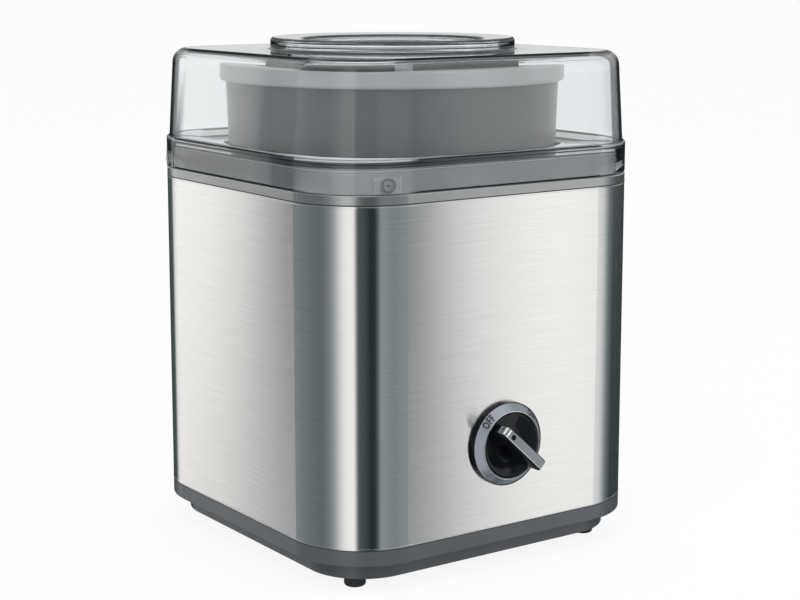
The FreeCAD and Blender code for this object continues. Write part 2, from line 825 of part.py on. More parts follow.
def make_case_cover():
    """Lid of the gear case, screwed up against the tub's bosses."""
    body = new_body("gear_case_cover")
    plate = new_sketch(body, "Plate", offset=case_ceiling)
    draw_case_outline(plate, ZERO)
    pad(body, plate, s.case_wall)
    bearing = s.output_shaft_radius + s.bush_wall
    centre = [(ZERO, ZERO)]
    pad_circles(body, "BearingSeat", centre, bearing + s.case_wall, case_ceiling, case_top + s.case_wall)
    cut_circles(body, "BearingBore", centre, bearing, case_ceiling, case_top + s.case_wall)
    hole = s.screw_radius + s.running_gap
    cut_circles(body, "ScrewHoles", case_screw_places(), hole, case_ceiling, case_top)
    pin_hole = s.gear_bore_radius
    cut_circles(body, "PinSeat", [(ZERO, reduction_y)], pin_hole, case_ceiling, case_top)


def make_case_screws():
    """Four long screws through case and cover into the tub's bosses."""
    body = new_body("gear_case_screws")
    places = case_screw_places()
    top = well_floor_bottom - s.seat_gap
    pad_circles(body, "Shanks", places, s.screw_radius, case_bottom, top)
    head_bottom = case_bottom - s.screw_head_height
    pad_circles(body, "Heads", places, s.screw_head_radius, head_bottom, case_bottom)


def make_bushes():
    """Two bronze bushes that carry the output shaft."""
    levels = {
        "output_bush_lower": (case_floor_top, case_floor_top + s.gear_side_gap * 2),
        "output_bush_upper": (case_ceiling, case_top + s.case_wall),
    }
    bore = s.output_shaft_radius + s.running_gap
    outside = s.output_shaft_radius + s.bush_wall - s.running_gap
    for name, (bottom, top) in levels.items():
        body = new_body(name)
        revolve(body, "Profile", [(bore, bottom), (outside, bottom), (outside, top), (bore, top)])


def make_shaft_seal():
    """Rubber lip seal that keeps drips in the well from the gears."""
    body = new_body("shaft_seal")
    bore = s.output_shaft_radius + s.running_gap
    outside = s.hub_hole_radius - s.running_gap
    top = well_floor_top + s.drip_rim_height
    bottom = top - s.seal_height
    lip = bore + s.bush_wall
    revolve(body, "Profile", [
        (bore, bottom), (lip, bottom), (lip, bottom + s.seal_height / 2),
        (outside, bottom + s.seal_height / 2), (outside, top), (bore, top)])


# ---------------------------------------------------------------- gears

def involute(angle):
    """Angle between a tooth flank's foot on the base circle and this pressure angle."""
    return math.tan(angle) - angle


def gear_outline(teeth, module, shift):
    """Closed outline of a spur gear with one tooth centred on +X.

    Each flank is an arc through three points of its involute. The shift
    thickens a pinion and thins its wheel, and the backlash thins both.
    """
    teeth = int(round(teeth))
    pressure = math.radians(s.pressure_angle.number)
    pitch_radius = module * teeth / 2
    base_radius = pitch_radius * math.cos(pressure)
    tip_radius = pitch_radius + module * (1 + shift)
    root_radius = pitch_radius + module * (shift - 1.25)
    thickness = module * (math.pi / 2 + 2 * shift * math.tan(pressure))
    thickness -= s.tooth_backlash.number / 2
    flank_start = max(base_radius, root_radius)

    def half_angle(radius):
        flank_angle = math.acos(min(1.0, base_radius / radius))
        return thickness / (2 * pitch_radius) + involute(pressure) - involute(flank_angle)

    def polar(radius, angle):
        return FreeCAD.Vector(radius * math.cos(angle), radius * math.sin(angle), 0)

    edges = []
    for tooth in range(teeth):
        centre = 2 * math.pi * tooth / teeth
        following = centre + 2 * math.pi / teeth
        middle_radius = (flank_start + tip_radius) / 2
        rising = [polar(r, centre - half_angle(r)) for r in (flank_start, middle_radius, tip_radius)]
        falling = [polar(r, centre + half_angle(r)) for r in (tip_radius, middle_radius, flank_start)]
        root_leaves = polar(root_radius, centre + half_angle(flank_start))
        root_middle = polar(root_radius, centre + math.pi / teeth)
        root_meets = polar(root_radius, following - half_angle(flank_start))
        next_start = polar(flank_start, following - half_angle(flank_start))
        edges.append(Part.Arc(*rising).toShape())
        edges.append(Part.Arc(rising[2], polar(tip_radius, centre), falling[0]).toShape())
        edges.append(Part.Arc(*falling).toShape())
        if flank_start > root_radius:
            edges.append(Part.makeLine(falling[2], root_leaves))
        edges.append(Part.Arc(root_leaves, root_middle, root_meets).toShape())
        if flank_start > root_radius:
            edges.append(Part.makeLine(root_meets, next_start))
    return Part.Wire(edges)


def gear_solid(teeth, module, shift, bottom, top, first_angle):
    """Extrude a gear between two levels, turned so that it meshes."""
    face = Part.Face(gear_outline(teeth, module, shift))
    solid = face.extrude(FreeCAD.Vector(0, 0, top.number - bottom.number))
    solid.rotate(FreeCAD.Vector(0, 0, 0), FreeCAD.Vector(0, 0, 1), first_angle)
    solid.translate(FreeCAD.Vector(0, 0, bottom.number))
    return solid


def disc(radius, bottom, top):
    """Plain upright cylinder between two levels."""
    height = top.number - bottom.number
    return Part.makeCylinder(radius.number, height, FreeCAD.Vector(0, 0, bottom.number))


def wheel_solid(module, bottom, top, first_angle, hub_radius):
    """A moulded gear wheel: toothed rim, thin web and a full-height hub."""
    solid = gear_solid(
        s.wheel_teeth.number, module.number, -s.profile_shift.number, bottom, top, first_angle)
    root = module * (s.wheel_teeth / 2 - s.profile_shift - 1.25)
    web_bottom = (bottom + top) / 2 - s.wheel_web / 2
    web_top = web_bottom + s.wheel_web
    for low, high in ((bottom, web_bottom), (web_top, top)):
        solid = solid.cut(disc(root - s.wheel_rim, low, high).cut(disc(hub_radius, low, high)))
    return solid


def pinion_solid(module, bottom, top, facing):
    """A pinion with a tooth gap turned towards the given direction."""
    gap_angle = facing - 180 / s.pinion_teeth.number
    return gear_solid(
        s.pinion_teeth.number, module.number, s.profile_shift.number, bottom, top, gap_angle)


def add_shaped_piece(label, shape, x=ZERO, y=ZERO):
    """Add a piece whose shape is worked out by formula, then place it."""
    piece = doc.addObject("Part::Feature", label)
    piece.Label = label
    piece.Shape = shape
    place(piece, x, y)


TOWARDS_FRONT = -90
TOWARDS_BACK = 90
TOWARDS_LEFT = 180
TOWARDS_RIGHT = 0


def make_output_wheel():
    """Large wheel of the second reduction, pressed on the output shaft."""
    wheel = wheel_solid(
        s.second_module, output_wheel_bottom, output_wheel_top, TOWARDS_BACK, s.wheel_hub_radius)
    hub_foot = case_floor_top + s.gear_side_gap * 2 + s.seat_gap
    wheel = wheel.fuse(disc(s.wheel_hub_radius, hub_foot, output_wheel_bottom))
    bore = disc(s.output_shaft_radius + s.running_gap, hub_foot, output_wheel_top)
    add_shaped_piece("output_gear", wheel.cut(bore).removeSplitter())


def make_reduction_gear():
    """Compound gear: the motor drives its wheel, its pinion drives the output."""
    wheel = wheel_solid(
        s.first_module, first_wheel_bottom, first_wheel_top, TOWARDS_LEFT, s.wheel_hub_radius)
    pinion_top = output_wheel_top + s.gear_side_gap / 2
    pinion = pinion_solid(s.second_module, first_wheel_top, pinion_top, TOWARDS_FRONT)
    bore_radius = s.gear_bore_radius + s.running_gap
    gear = wheel.fuse(pinion)
    gear = gear.cut(disc(bore_radius, first_wheel_bottom, pinion_top)).removeSplitter()
    add_shaped_piece("reduction_gear", gear, ZERO, reduction_y)


def make_reduction_pin():
    """Fixed steel pin that the compound gear turns on."""
    pin = doc.addObject("Part::Cylinder", "reduction_pin")
    pin.Label = "reduction_pin"
    bind(pin, "Radius", s.gear_bore_radius - s.running_gap / 2)
    bind(pin, "Height", case_top - case_bottom)
    place(pin, ZERO, reduction_y, case_bottom)


def make_output_shaft():
    """Steel shaft from the gear case up into the drive hub."""
    shaft = doc.addObject("Part::Cylinder", "output_shaft")
    shaft.Label = "output_shaft"
    bottom = case_floor_top + s.seat_gap
    top = hub_top - s.boss_wall
    bind(shaft, "Radius", s.output_shaft_radius)
    bind(shaft, "Height", top - bottom)
    place(shaft, ZERO, ZERO, bottom)


# ---------------------------------------------------------------- motor

def make_motor_stack():
    """Laminated yoke of a shaded-pole motor: bore, window and coil leg."""
    body = new_body("motor_stack")
    half = s.stack_width / 2
    outline = new_sketch(body, "Outline", offset=stack_bottom)
    draw_rounded_rectangle(
        outline, -half, half, -s.stack_front, stack_back + s.yoke_leg, s.edge_round * 3)
    pad(body, outline, s.stack_height)
    cut_circles(body, "Bore", [(ZERO, ZERO)], rotor_bore, stack_bottom, stack_top)
    window = new_sketch(body, "Window", offset=stack_top)
    window_side = half - s.yoke_leg
    window_low = rotor_bore + s.window_gap * 2
    draw_rectangle(window, -window_side, window_side, window_low, stack_back)
    pocket(body, window, s.stack_height)
    slots = new_sketch(body, "PoleSlots", offset=stack_top)
    draw_rectangle(
        slots, -s.window_gap / 2, s.window_gap / 2, ZERO, window_low + s.window_gap)
    pocket(body, slots, s.stack_height)
    place(body, motor_x, motor_y)


def make_motor_coil():
    """Copper coil wound round the yoke's back leg."""
    body = new_body("motor_coil")
    gap = s.slip_gap
    build = s.coil_build
    leg_low = stack_back - gap
    leg_high = stack_back + s.yoke_leg + gap
    outline = new_sketch(body, "Section", "YZ_Plane")
    draw_rounded_rectangle(
        outline, leg_low - build, leg_high + build,
        stack_bottom - gap - build / 2, stack_top + gap + build / 2, build / 2)
    draw_rectangle(outline, leg_low, leg_high, stack_bottom - gap, stack_top + gap)
    pad(body, outline, s.coil_width, midplane=True)
    place(body, motor_x, motor_y)


def make_bridge(name, plate_bottom, leg_low, leg_high):
    """Bearing bridge: a strap across the stack on two legs."""
    body = new_body(name)
    reach = s.stack_width / 2
    half = s.bridge_width / 2
    strap = new_sketch(body, "Strap", offset=plate_bottom)
    draw_rectangle(strap, -reach, reach, -half, half)
    pad(body, strap, s.bridge_plate)
    legs = new_sketch(body, "Legs", offset=leg_low)
    leg = s.bridge_plate * 2
    draw_rectangle(legs, -reach, leg - reach, -half, half)
    draw_rectangle(legs, reach - leg, reach, -half, half)
    pad(body, legs, leg_high - leg_low)
    place(body, motor_x, motor_y)
    return body


def make_motor_frames():
    """Upper and lower bearing bridges with their sleeve bearings."""
    upper_plate = upper_bridge_top - s.bridge_plate
    upper = make_bridge("motor_bridge_upper", upper_plate, stack_top, upper_bridge_top)
    lower = make_bridge(
        "motor_bridge_lower", lower_bridge_bottom, lower_bridge_bottom, stack_bottom)
    spans = {
        "motor_bearing_upper": (upper, upper_plate, upper_bridge_top, upper_bridge_top),
        "motor_bearing_lower": (
            lower, lower_bridge_bottom, lower_bridge_bottom + s.bridge_plate,
            lower_bridge_bottom + s.bearing_height),
    }
    outside = s.bearing_radius
    bore = s.motor_shaft_radius + s.running_gap
    centre = [(ZERO, ZERO)]
    for name, (bridge, plate_bottom, plate_top, top) in spans.items():
        cut_circles(bridge, "BearingSeat", centre, outside, plate_bottom, plate_top)
        bearing = new_body(name)
        bottom = top - s.bearing_height
        fit = outside - s.running_gap
        revolve(bearing, "Profile", [(bore, bottom), (fit, bottom), (fit, top), (bore, top)])
        place(bearing, motor_x, motor_y)


def make_rotor():
    """Squirrel-cage rotor on its shaft, with the pinion cut at the top."""
    rotor_bottom = stack_bottom - s.seat_gap * 4
    rotor_top = stack_top + s.seat_gap * 4
    core = disc(s.rotor_radius, rotor_bottom, rotor_top)
    pinion_top = first_wheel_top + s.gear_side_gap / 2
    pinion_bottom = first_wheel_bottom - s.gear_side_gap / 2
    shaft = disc(s.motor_shaft_radius, fan_bottom, pinion_bottom)
    pinion = pinion_solid(s.first_module, pinion_bottom, pinion_top, TOWARDS_RIGHT)
    add_shaped_piece("motor_rotor", core.fuse([shaft, pinion]).removeSplitter(), motor_x, motor_y)


def make_fan():
    """Cooling fan on the lower end of the motor shaft."""
    body = new_body("cooling_fan")
    bore = s.motor_shaft_radius + s.running_gap
    revolve(body, "Hub", [
        (bore, fan_bottom), (s.fan_hub_radius, fan_bottom),
        (s.fan_hub_radius, fan_top - s.fan_blade_thickness),
        (s.fan_radius, fan_top - s.fan_blade_thickness), (s.fan_radius, fan_top), (bore, fan_top)])
    blade = new_sketch(body, "Blade", offset=fan_bottom)
    half = s.fan_blade_thickness / 2
    draw_rectangle(blade, s.fan_hub_radius - half, s.fan_radius - half, -half, half)
    first_blade = pad(body, blade, s.fan_height - s.fan_blade_thickness / 2)
    repeat_round(body, first_blade, s.fan_blade_count)
    place(body, motor_x, motor_y)


# ---------------------------------------------------------------- drive hub and bowl

def make_drive_hub():
    """Splined hub in the well that carries and turns the bowl."""
    body = new_body("drive_hub")
    bore = s.output_shaft_radius + s.running_gap
    shaft_top = hub_top - s.boss_wall
    skirt = s.drive_hub_radius - s.case_wall
    inner = s.hub_hole_radius + s.drip_rim_width + s.socket_gap
    plate = hub_bottom + s.case_wall
    revolve(body, "Profile", [
        (bore, hub_bottom), (inner, hub_bottom), (inner, plate), (skirt, plate),
        (skirt, hub_bottom - s.drip_rim_height), (s.drive_hub_radius, hub_bottom - s.drip_rim_height),
        (s.drive_hub_radius, hub_top - s.drive_lug_height),
        (inner, hub_top - s.drive_lug_height), (inner, hub_top), (ZERO, hub_top),
        (ZERO, shaft_top), (bore, shaft_top)])
    lug = new_sketch(body, "Lug", offset=hub_top - s.drive_lug_height)
    half = s.drive_lug_width / 2
    draw_rectangle(lug, inner - s.running_gap, s.drive_hub_radius - s.socket_gap, -half, half)
    first_lug = pad(body, lug, s.drive_lug_height)
    repeat_round(body, first_lug, s.drive_lug_count)


def bowl_outside(level):
    """Radius of the bowl's outer wall at a level."""
    return bowl_bottom_radius + bowl_taper * (level - bowl_bottom)


def liner_inside(level):
    """Radius of the liner's inner wall at a level."""
    return liner_bottom_radius + liner_taper * (level - liner_floor_top)


def make_bowl_shell():
    """Outer wall of the freezer bowl, with the drive socket in its underside."""
    body = new_body("bowl_shell")
    wall = s.bowl_wall
    inner_floor = socket_ceiling + wall
    shoulder = rim_bottom + s.rim_wall
    revolve(body, "Profile", [
        (socket_radius, bowl_bottom), (bowl_bottom_radius, bowl_bottom),
        (bowl_outside(rim_bottom), rim_bottom), (bowl_outside(rim_bottom), shoulder),
        (bowl_outside(rim_bottom) - wall, shoulder),
        (bowl_outside(bowl_bottom + wall) - wall, bowl_bottom + wall),
        (socket_radius + wall, bowl_bottom + wall), (socket_radius + wall, inner_floor),
        (ZERO, inner_floor), (ZERO, socket_ceiling), (socket_radius, socket_ceiling)])
    round_edges(body, s.bowl_foot_round, ring_edge(bowl_bottom_radius, bowl_bottom))
    inner_edge = ring_edge(bowl_outside(bowl_bottom + wall) - wall, bowl_bottom + wall)
    round_edges(body, s.bowl_foot_round - wall, inner_edge)
    rib = new_sketch(body, "DriveRib", offset=hub_top - s.drive_lug_height + s.socket_gap)
    inner = s.hub_hole_radius + s.drip_rim_width + s.socket_gap * 2
    reach = socket_radius + s.running_gap
    rib_low = s.drive_lug_width / 2 + s.slip_gap
    draw_rectangle(rib, inner + s.drive_lug_width / 2, reach, rib_low, rib_low + s.bowl_wall * 2)
    rib_height = socket_ceiling - hub_top + s.drive_lug_height - s.socket_gap
    first_rib = pad(body, rib, rib_height + s.running_gap)
    repeat_round(body, first_rib, s.drive_lug_count)


def make_bowl_liner():
    """Drawn aluminium cup inside the bowl, with a flange under the rim."""
    body = new_body("bowl_liner")
    wall = s.liner_wall
    flange_top_level = bowl_top - s.rim_wall - s.gasket_height - s.seat_gap
    flange_low = flange_top_level - wall
    flange_reach = liner_top_radius + s.gasket_width + wall
    revolve(body, "Profile", [
        (ZERO, liner_floor_top - wall), (liner_bottom_radius + wall, liner_floor_top - wall),
        (liner_inside(flange_low) + wall, flange_low), (flange_reach, flange_low),
        (flange_reach, flange_top_level), (liner_inside(flange_top_level), flange_top_level),
        (liner_bottom_radius, liner_floor_top), (ZERO, liner_floor_top)])
    round_edges(body, s.liner_floor_round, ring_edge(liner_bottom_radius, liner_floor_top))
    outer = ring_edge(liner_bottom_radius + wall, liner_floor_top - wall)
    round_edges(body, s.liner_floor_round + wall, outer)


def make_coolant():
    """Freezing gel that fills the space between shell and liner."""
    body = new_body("coolant_fill")
    gap = s.slip_gap
    wall = s.bowl_wall + gap
    low = bowl_bottom + wall
    socket_top = socket_ceiling + wall
    top = rim_bottom - gap
    liner_outer = s.liner_wall + gap
    revolve(body, "Profile", [
        (ZERO, socket_top), (socket_radius + wall, socket_top), (socket_radius + wall, low),
        (bowl_outside(low) - wall - s.bowl_foot_round, low),
        (bowl_outside(low + s.bowl_foot_round) - wall, low + s.bowl_foot_round),
        (bowl_outside(top) - wall, top), (liner_inside(top) + liner_outer, top),
        (liner_bottom_radius + liner_outer, liner_floor_top - liner_outer),
        (ZERO, liner_floor_top - liner_outer)])


def make_bowl_rim():
    """Snap-on rim ring that closes the double wall."""
    body = new_body("bowl_rim")
    outside = rim_radius
    seat = bowl_outside(rim_bottom) + s.running_gap
    shoulder = rim_bottom + s.rim_wall + s.seat_gap
    inner = liner_top_radius
    under = bowl_top - s.rim_wall
    web = bowl_outside(rim_bottom) - s.bowl_wall
    revolve(body, "Profile", [
        (seat, rim_bottom), (outside, rim_bottom), (outside, bowl_top), (inner, bowl_top),
        (inner, under), (web, under), (web, shoulder), (seat, shoulder)])
    round_edges(body, s.rim_wall * 0.8, either(
        ring_edge(outside, bowl_top), ring_edge(outside, rim_bottom)))


def make_rim_gasket():
    """Rubber ring clamped between the rim and the liner's flange."""
    body = new_body("rim_gasket")
    top = bowl_top - s.rim_wall - s.running_gap
    bottom = top - s.gasket_height
    inner = liner_top_radius + s.slip_gap
    outer = inner + s.gasket_width
    revolve(body, "Profile", [(inner, bottom), (outer, bottom), (outer, top), (inner, top)])


# ---------------------------------------------------------------- paddle and lid

def make_paddle():
    """Mixing paddle: a ring that keys into the lid, and a frame of blades."""
    body = new_body("mixing_paddle")
    ring_outer = lock_collar_radius - s.lid_wall - s.slip_gap * 2
    ring_inner = ring_outer - s.paddle_ring_wall
    ring_bottom = lock_collar_bottom - s.slip_gap * 2
    ring_upper = ring_bottom + s.paddle_ring_height
    revolve(body, "LockRing", [
        (ring_inner, ring_bottom), (ring_outer, ring_bottom),
        (ring_outer, ring_upper), (ring_inner, ring_upper)])
    key = new_sketch(body, "Key", offset=ring_bottom)
    key_half = s.lock_notch_width / 2 - s.slip_gap
    key_reach = lock_collar_radius - s.running_gap
    draw_rectangle(key, ring_inner + s.slip_gap, key_reach, -key_half, key_half)
    first_key = pad(body, key, s.paddle_ring_height)
    repeat_round(body, first_key, as_size(3))
    frame = new_sketch(body, "Frame", "XZ_Plane")
    foot = liner_floor_top + s.paddle_floor_gap
    low_reach = liner_inside(foot) - s.paddle_wall_gap
    turn = foot + s.liner_floor_round
    turn_reach = liner_inside(turn) - s.paddle_wall_gap
    shoulder = ring_bottom - s.paddle_rail
    draw_polygon(frame, [
        (s.liner_floor_round - low_reach, foot), (low_reach - s.liner_floor_round, foot),
        (turn_reach, turn), (turn_reach, shoulder), (ring_outer, ring_bottom),
        (-ring_outer, ring_bottom), (-turn_reach, shoulder), (-turn_reach, turn)])
    pad(body, frame, s.paddle_thickness, midplane=True)
    window = new_sketch(body, "Window", "XZ_Plane")
    rail = s.paddle_rail
    inner_reach = turn_reach - rail
    foot_rail = foot + rail
    draw_polygon(window, [
        (rail / 2, foot_rail), (inner_reach - rail, foot_rail), (inner_reach, foot_rail + rail),
        (inner_reach, ring_upper + rail), (-inner_reach, ring_upper + rail),
        (-inner_reach, foot_rail + rail), (rail - inner_reach, foot_rail), (-rail / 2, foot_rail),
        (-rail / 2, foot_rail + s.paddle_wing_height), (rail / 2, foot_rail + s.paddle_wing_height)])
    pocket(body, window, s.paddle_thickness * 2, midplane=True)
    wing = new_sketch(body, "Wing", offset=foot_rail - s.running_gap)
    half = s.paddle_thickness / 2
    reach = s.paddle_wing_reach
    draw_polygon(wing, [(-reach, -reach / 2), (half - reach, -reach / 2 - half),
                        (reach, reach / 2), (reach - half, reach / 2 + half)])
    pad(body, wing, s.paddle_wing_height)
    pad_circles(body, "Foot", [(ZERO, ZERO)], s.paddle_foot_radius, foot, foot_rail)


def make_lid():
    """Clear moulded lid: skirt, drafted box, raised ring and locking collar."""
    body = new_body("clear_lid")
    step = lid_bottom + s.skirt_height - s.seat_gap
    pad_outline(body, "Skirt", ZERO, lid_bottom, step)
    round_edges(body, s.edge_round, level_edge(step))
    pad_outline(body, "Box", s.skirt_step, step, lid_top, -s.lid_draft)
    round_edges(body, s.lid_edge_round, level_edge(lid_top))
    ceiling = step - s.lid_wall
    cut_outline(body, "SkirtInside", s.lid_wall, lid_bottom, ceiling)
    inside = new_sketch(body, "BoxInside", offset=ceiling)
    draw_body_outline(inside, s.skirt_step + s.lid_wall)
    hollow = pocket(body, inside, lid_ceiling - ceiling, backwards=True)
    bind(hollow, "TaperAngle", -s.lid_draft)
    round_edges(body, s.lid_edge_round - s.lid_wall, level_edge(lid_ceiling))
    wall = s.lid_wall
    opening_radius = ring_radius - wall
    cut_circles(body, "RingHole", [(ZERO, ZERO)], opening_radius, lid_ceiling, lid_top)
    collar_inner = lock_collar_radius - wall
    root = lid_top - wall / 2
    revolve(body, "Ring", [
        (lock_collar_radius, lock_collar_bottom), (lock_collar_radius, root),
        (ring_radius, root), (ring_radius, ring_top), (ring_opening, ring_top),
        (ring_opening, ring_top - s.ring_lip_depth),
        (ring_opening + wall, ring_top - s.ring_lip_depth),
        (ring_opening + wall, ring_top - wall), (opening_radius, ring_top - wall),
        (opening_radius, lid_ceiling), (collar_inner, lid_ceiling),
        (collar_inner, lock_collar_bottom)])
    round_edges(body, s.ring_round, either(
        ring_edge(ring_radius, ring_top), ring_edge(ring_opening, ring_top)))
    notch = new_sketch(body, "Notch", offset=lid_ceiling - s.slip_gap)
    half = s.lock_notch_width / 2
    draw_rectangle(notch, collar_inner - wall, lock_collar_radius + wall, -half, half)
    first_notch = pocket(body, notch, s.lock_collar_depth)
    repeat_round(body, first_notch, as_size(3))
    add_latches(body)


def new_corner_sketch(body, name, level, quarter):
    """A level sketch at a corner's centre, its first axis turned towards the latch."""
    sketch = new_sketch(body, name, offset=level)
    x, y = corner_points(s.corner_radius)[quarter]
    bind(sketch, "AttachmentOffset.Base.x", x)
    bind(sketch, "AttachmentOffset.Base.y", y)
    sketch.AttachmentOffset.Rotation = FreeCAD.Rotation(FreeCAD.Vector(0, 0, 1), 1)
    turn = QUARTER_TURN * (quarter + 3) - s.latch_turn
    bind(sketch, "AttachmentOffset.Rotation.Angle", turn)
    return sketch


def add_latches(body):
    """Latch seats low on the skirt: at each corner a flat with a round dished boss."""
    root = s.corner_radius - s.lid_wall / 2
    face = s.corner_radius + s.latch_seat_rise
    half_seat = s.latch_seat_width / 2
    for quarter in range(4):
        seat = new_corner_sketch(body, "LatchSeat", lid_bottom, quarter)
        draw_rectangle(seat, root, face, -half_seat, half_seat)
        pad(body, seat, s.latch_seat_height)
        boss = new_corner_sketch(body, "LatchBoss", lid_bottom + s.latch_level, quarter)
        rise = face + s.latch_rise
        draw_polygon(boss, [
            (root, ZERO), (face, ZERO), (face, s.latch_dish_radius), (rise, s.latch_dish_radius),
            (rise, s.latch_radius), (root, s.latch_radius)])
        turn_sketch(body, boss, "H_Axis")


# ---------------------------------------------------------------- dial and switch

def place_on_dial(body, turn=None):
    """Move a piece that was made round the Y axis to the dial's centre."""
    if turn is not None:
        body.Placement = FreeCAD.Placement(
            FreeCAD.Vector(0, 0, 0), FreeCAD.Rotation(FreeCAD.Vector(0, 1, 0), 1))
        bind(body, "Placement.Rotation.Angle", turn)
    return place(body, ZERO, front_face, s.dial_level)


def dial_profile(points):
    """Outline of (height off the front, radius) points, as sketch points."""
    return [(-height, radius) for height, radius in points]


def make_bezel():
    """Bevelled dial ring on the front of the sleeve."""
    body = new_body("dial_bezel")
    bore = s.knob_hub_radius + s.knob_gap
    revolve(body, "Profile", dial_profile([
        (ZERO, bore), (ZERO, s.bezel_radius), (s.bezel_side_height, s.bezel_radius),
        (s.bezel_height, s.bezel_inner_radius), (s.bezel_web, s.bezel_inner_radius),
        (s.bezel_web, bore)]), "YZ_Plane", "H_Axis")
    studs = new_sketch(body, "Studs", "XZ_Plane")
    stud_radius = boss_radius - s.boss_wall / 2
    draw_circles(studs, switch_screw_places(), stud_radius)
    pad(body, studs, s.sleeve_wall, backwards=True)
    holes = new_sketch(body, "StudHoles", "XZ_Plane", -s.sleeve_wall)
    draw_circles(holes, switch_screw_places(), s.screw_radius + s.running_gap)
    pocket(body, holes, s.sleeve_wall + s.bezel_web / 2, backwards=True)
    place_on_dial(body)


def switch_screw_places():
    """Two screws, left and right of the dial's centre."""
    return [(-s.switch_screw_offset, ZERO), (s.switch_screw_offset, ZERO)]


def make_knob():
    """Dished knob with an upright grip, turned to its OFF mark."""
    body = new_body("knob")
    outer = s.bezel_inner_radius - s.knob_gap
    rim = s.knob_rim_level
    back = s.bezel_web + s.slip_gap
    centre_face = rim - s.knob_dish
    hub_end = -(s.sleeve_wall + s.bracket_wall)
    bore = s.spindle_radius + s.running_gap
    revolve(body, "Disc", dial_profile([
        (hub_end, bore), (hub_end, s.knob_hub_radius), (back, s.knob_hub_radius),
        (back, outer), (rim, outer), (rim, outer - s.knob_skin),
        (centre_face, s.knob_hub_radius + s.knob_skin), (centre_face, ZERO),
        (back, ZERO), (back, bore)]), "YZ_Plane", "H_Axis")
    grip = new_sketch(body, "Grip", "YZ_Plane")
    tail_foot = s.grip_tail_level - s.grip_tail_drop
    draw_polygon(grip, dial_profile([
        (back, s.grip_nose - s.grip_nose_lean), (s.grip_nose_level, s.grip_nose),
        (s.grip_tail_level, -s.grip_tail), (tail_foot, -s.grip_tail),
        (back, s.grip_tail_lean - s.grip_tail)]))
    pad(body, grip, s.grip_thickness, midplane=True)
    nose_y = -s.grip_nose_level.number
    nose_z = s.grip_nose.number
    tail_y = -s.grip_tail_level.number
    tail_z = -s.grip_tail.number

    def grip_end(edge):
        box = edge.BoundBox
        if box.XLength < s.grip_thickness.number - 0.1 or box.YLength > 0.1 or box.ZLength > 0.1:
            return False
        at_nose = abs(box.YMin - nose_y) < 0.1 and abs(box.ZMin - nose_z) < 0.1
        at_tail = abs(box.YMin - tail_y) < 0.1 and abs(box.ZMin - tail_z) < 0.1
        return at_nose or at_tail

    round_edges(body, s.edge_round, grip_end)
    place_on_dial(body, -s.knob_rest_angle)


def make_grip_trim():
    """Bright metal strip up the grip's nose, round its bend and along its front edge."""
    body = new_body("grip_trim")
    thickness = s.grip_trim_thickness
    slope = (s.grip_tail_level - s.grip_nose_level) / (s.grip_nose + s.grip_tail)
    lean = s.grip_nose_lean / (s.grip_nose_level - s.bezel_web - s.slip_gap)
    foot_reach = s.grip_nose - lean * (s.grip_nose_level - s.grip_trim_foot)
    end = s.edge_round * 2 - s.grip_tail
    end_level = s.grip_nose_level + slope * (s.grip_nose - end)
    strip = new_sketch(body, "Strip", "YZ_Plane")
    draw_polygon(strip, dial_profile([
        (s.grip_trim_foot, foot_reach), (s.grip_trim_foot, foot_reach + thickness),
        (s.grip_nose_level + thickness, s.grip_nose + thickness),
        (end_level + thickness, end), (end_level, end), (s.grip_nose_level, s.grip_nose)]))
    pad(body, strip, s.grip_thickness - s.edge_round * 2, midplane=True)
    nose_corner = s.grip_nose_level + thickness
    corner_y = -nose_corner.number

    def bend(edge):
        box = edge.BoundBox
        return box.YLength < 0.01 and box.ZLength < 0.01 and abs(box.YMin - corner_y) < 0.01

    round_edges(body, thickness, bend)
    place_on_dial(body, -s.knob_rest_angle)


def make_spindle():
    """Steel spindle that joins the knob to the switch."""
    body = new_body("switch_spindle")
    inner_end = -(s.sleeve_wall + s.bracket_wall + s.switch_depth / 2)
    revolve(body, "Profile", dial_profile([
        (inner_end, ZERO), (inner_end, s.spindle_radius),
        (s.bezel_web, s.spindle_radius), (s.bezel_web, ZERO)]), "YZ_Plane", "H_Axis")
    place_on_dial(body)


def make_switch_bracket():
    """Steel plate behind the sleeve, clamped to the dial ring."""
    body = new_body("switch_bracket")
    sketch = new_sketch(body, "Plate", "XZ_Plane", -s.sleeve_wall)
    half_width = s.switch_screw_offset + boss_radius + s.boss_wall
    half_height = s.bracket_height / 2
    draw_rounded_rectangle(
        sketch, -half_width, half_width, -half_height, half_height, boss_radius)
    draw_circles(sketch, [(ZERO, ZERO)], s.knob_hub_radius + s.knob_gap)
    draw_circles(sketch, switch_screw_places(), s.screw_radius + s.running_gap)
    pad(body, sketch, s.bracket_wall, backwards=True)
    place_on_dial(body)


def make_switch_body():
    """Rotary mains switch: a moulded block behind the bracket."""
    body = new_body("rotary_switch")
    half = s.switch_width / 2
    inset = -(s.sleeve_wall + s.bracket_wall)
    block = new_sketch(body, "Block", "XZ_Plane", inset)
    side = s.switch_screw_offset - s.screw_head_radius - s.slip_gap
    draw_rectangle(block, -side, side, -half, half)
    pad(body, block, s.switch_depth, backwards=True)
    bore = new_sketch(body, "Bore", "XZ_Plane", inset)
    draw_circles(bore, [(ZERO, ZERO)], s.spindle_radius + s.slip_gap)
    pocket(body, bore, s.switch_depth / 2 + s.slip_gap)
    tabs = new_sketch(body, "Tabs", "XZ_Plane", inset - s.switch_depth)
    for level in (-half / 2, half / 2):
        draw_rectangle(tabs, -side / 2, side / 2, level - s.edge_round / 2, level + s.edge_round / 2)
    pad(body, tabs, s.boss_wall * 2, backwards=True)
    place_on_dial(body)


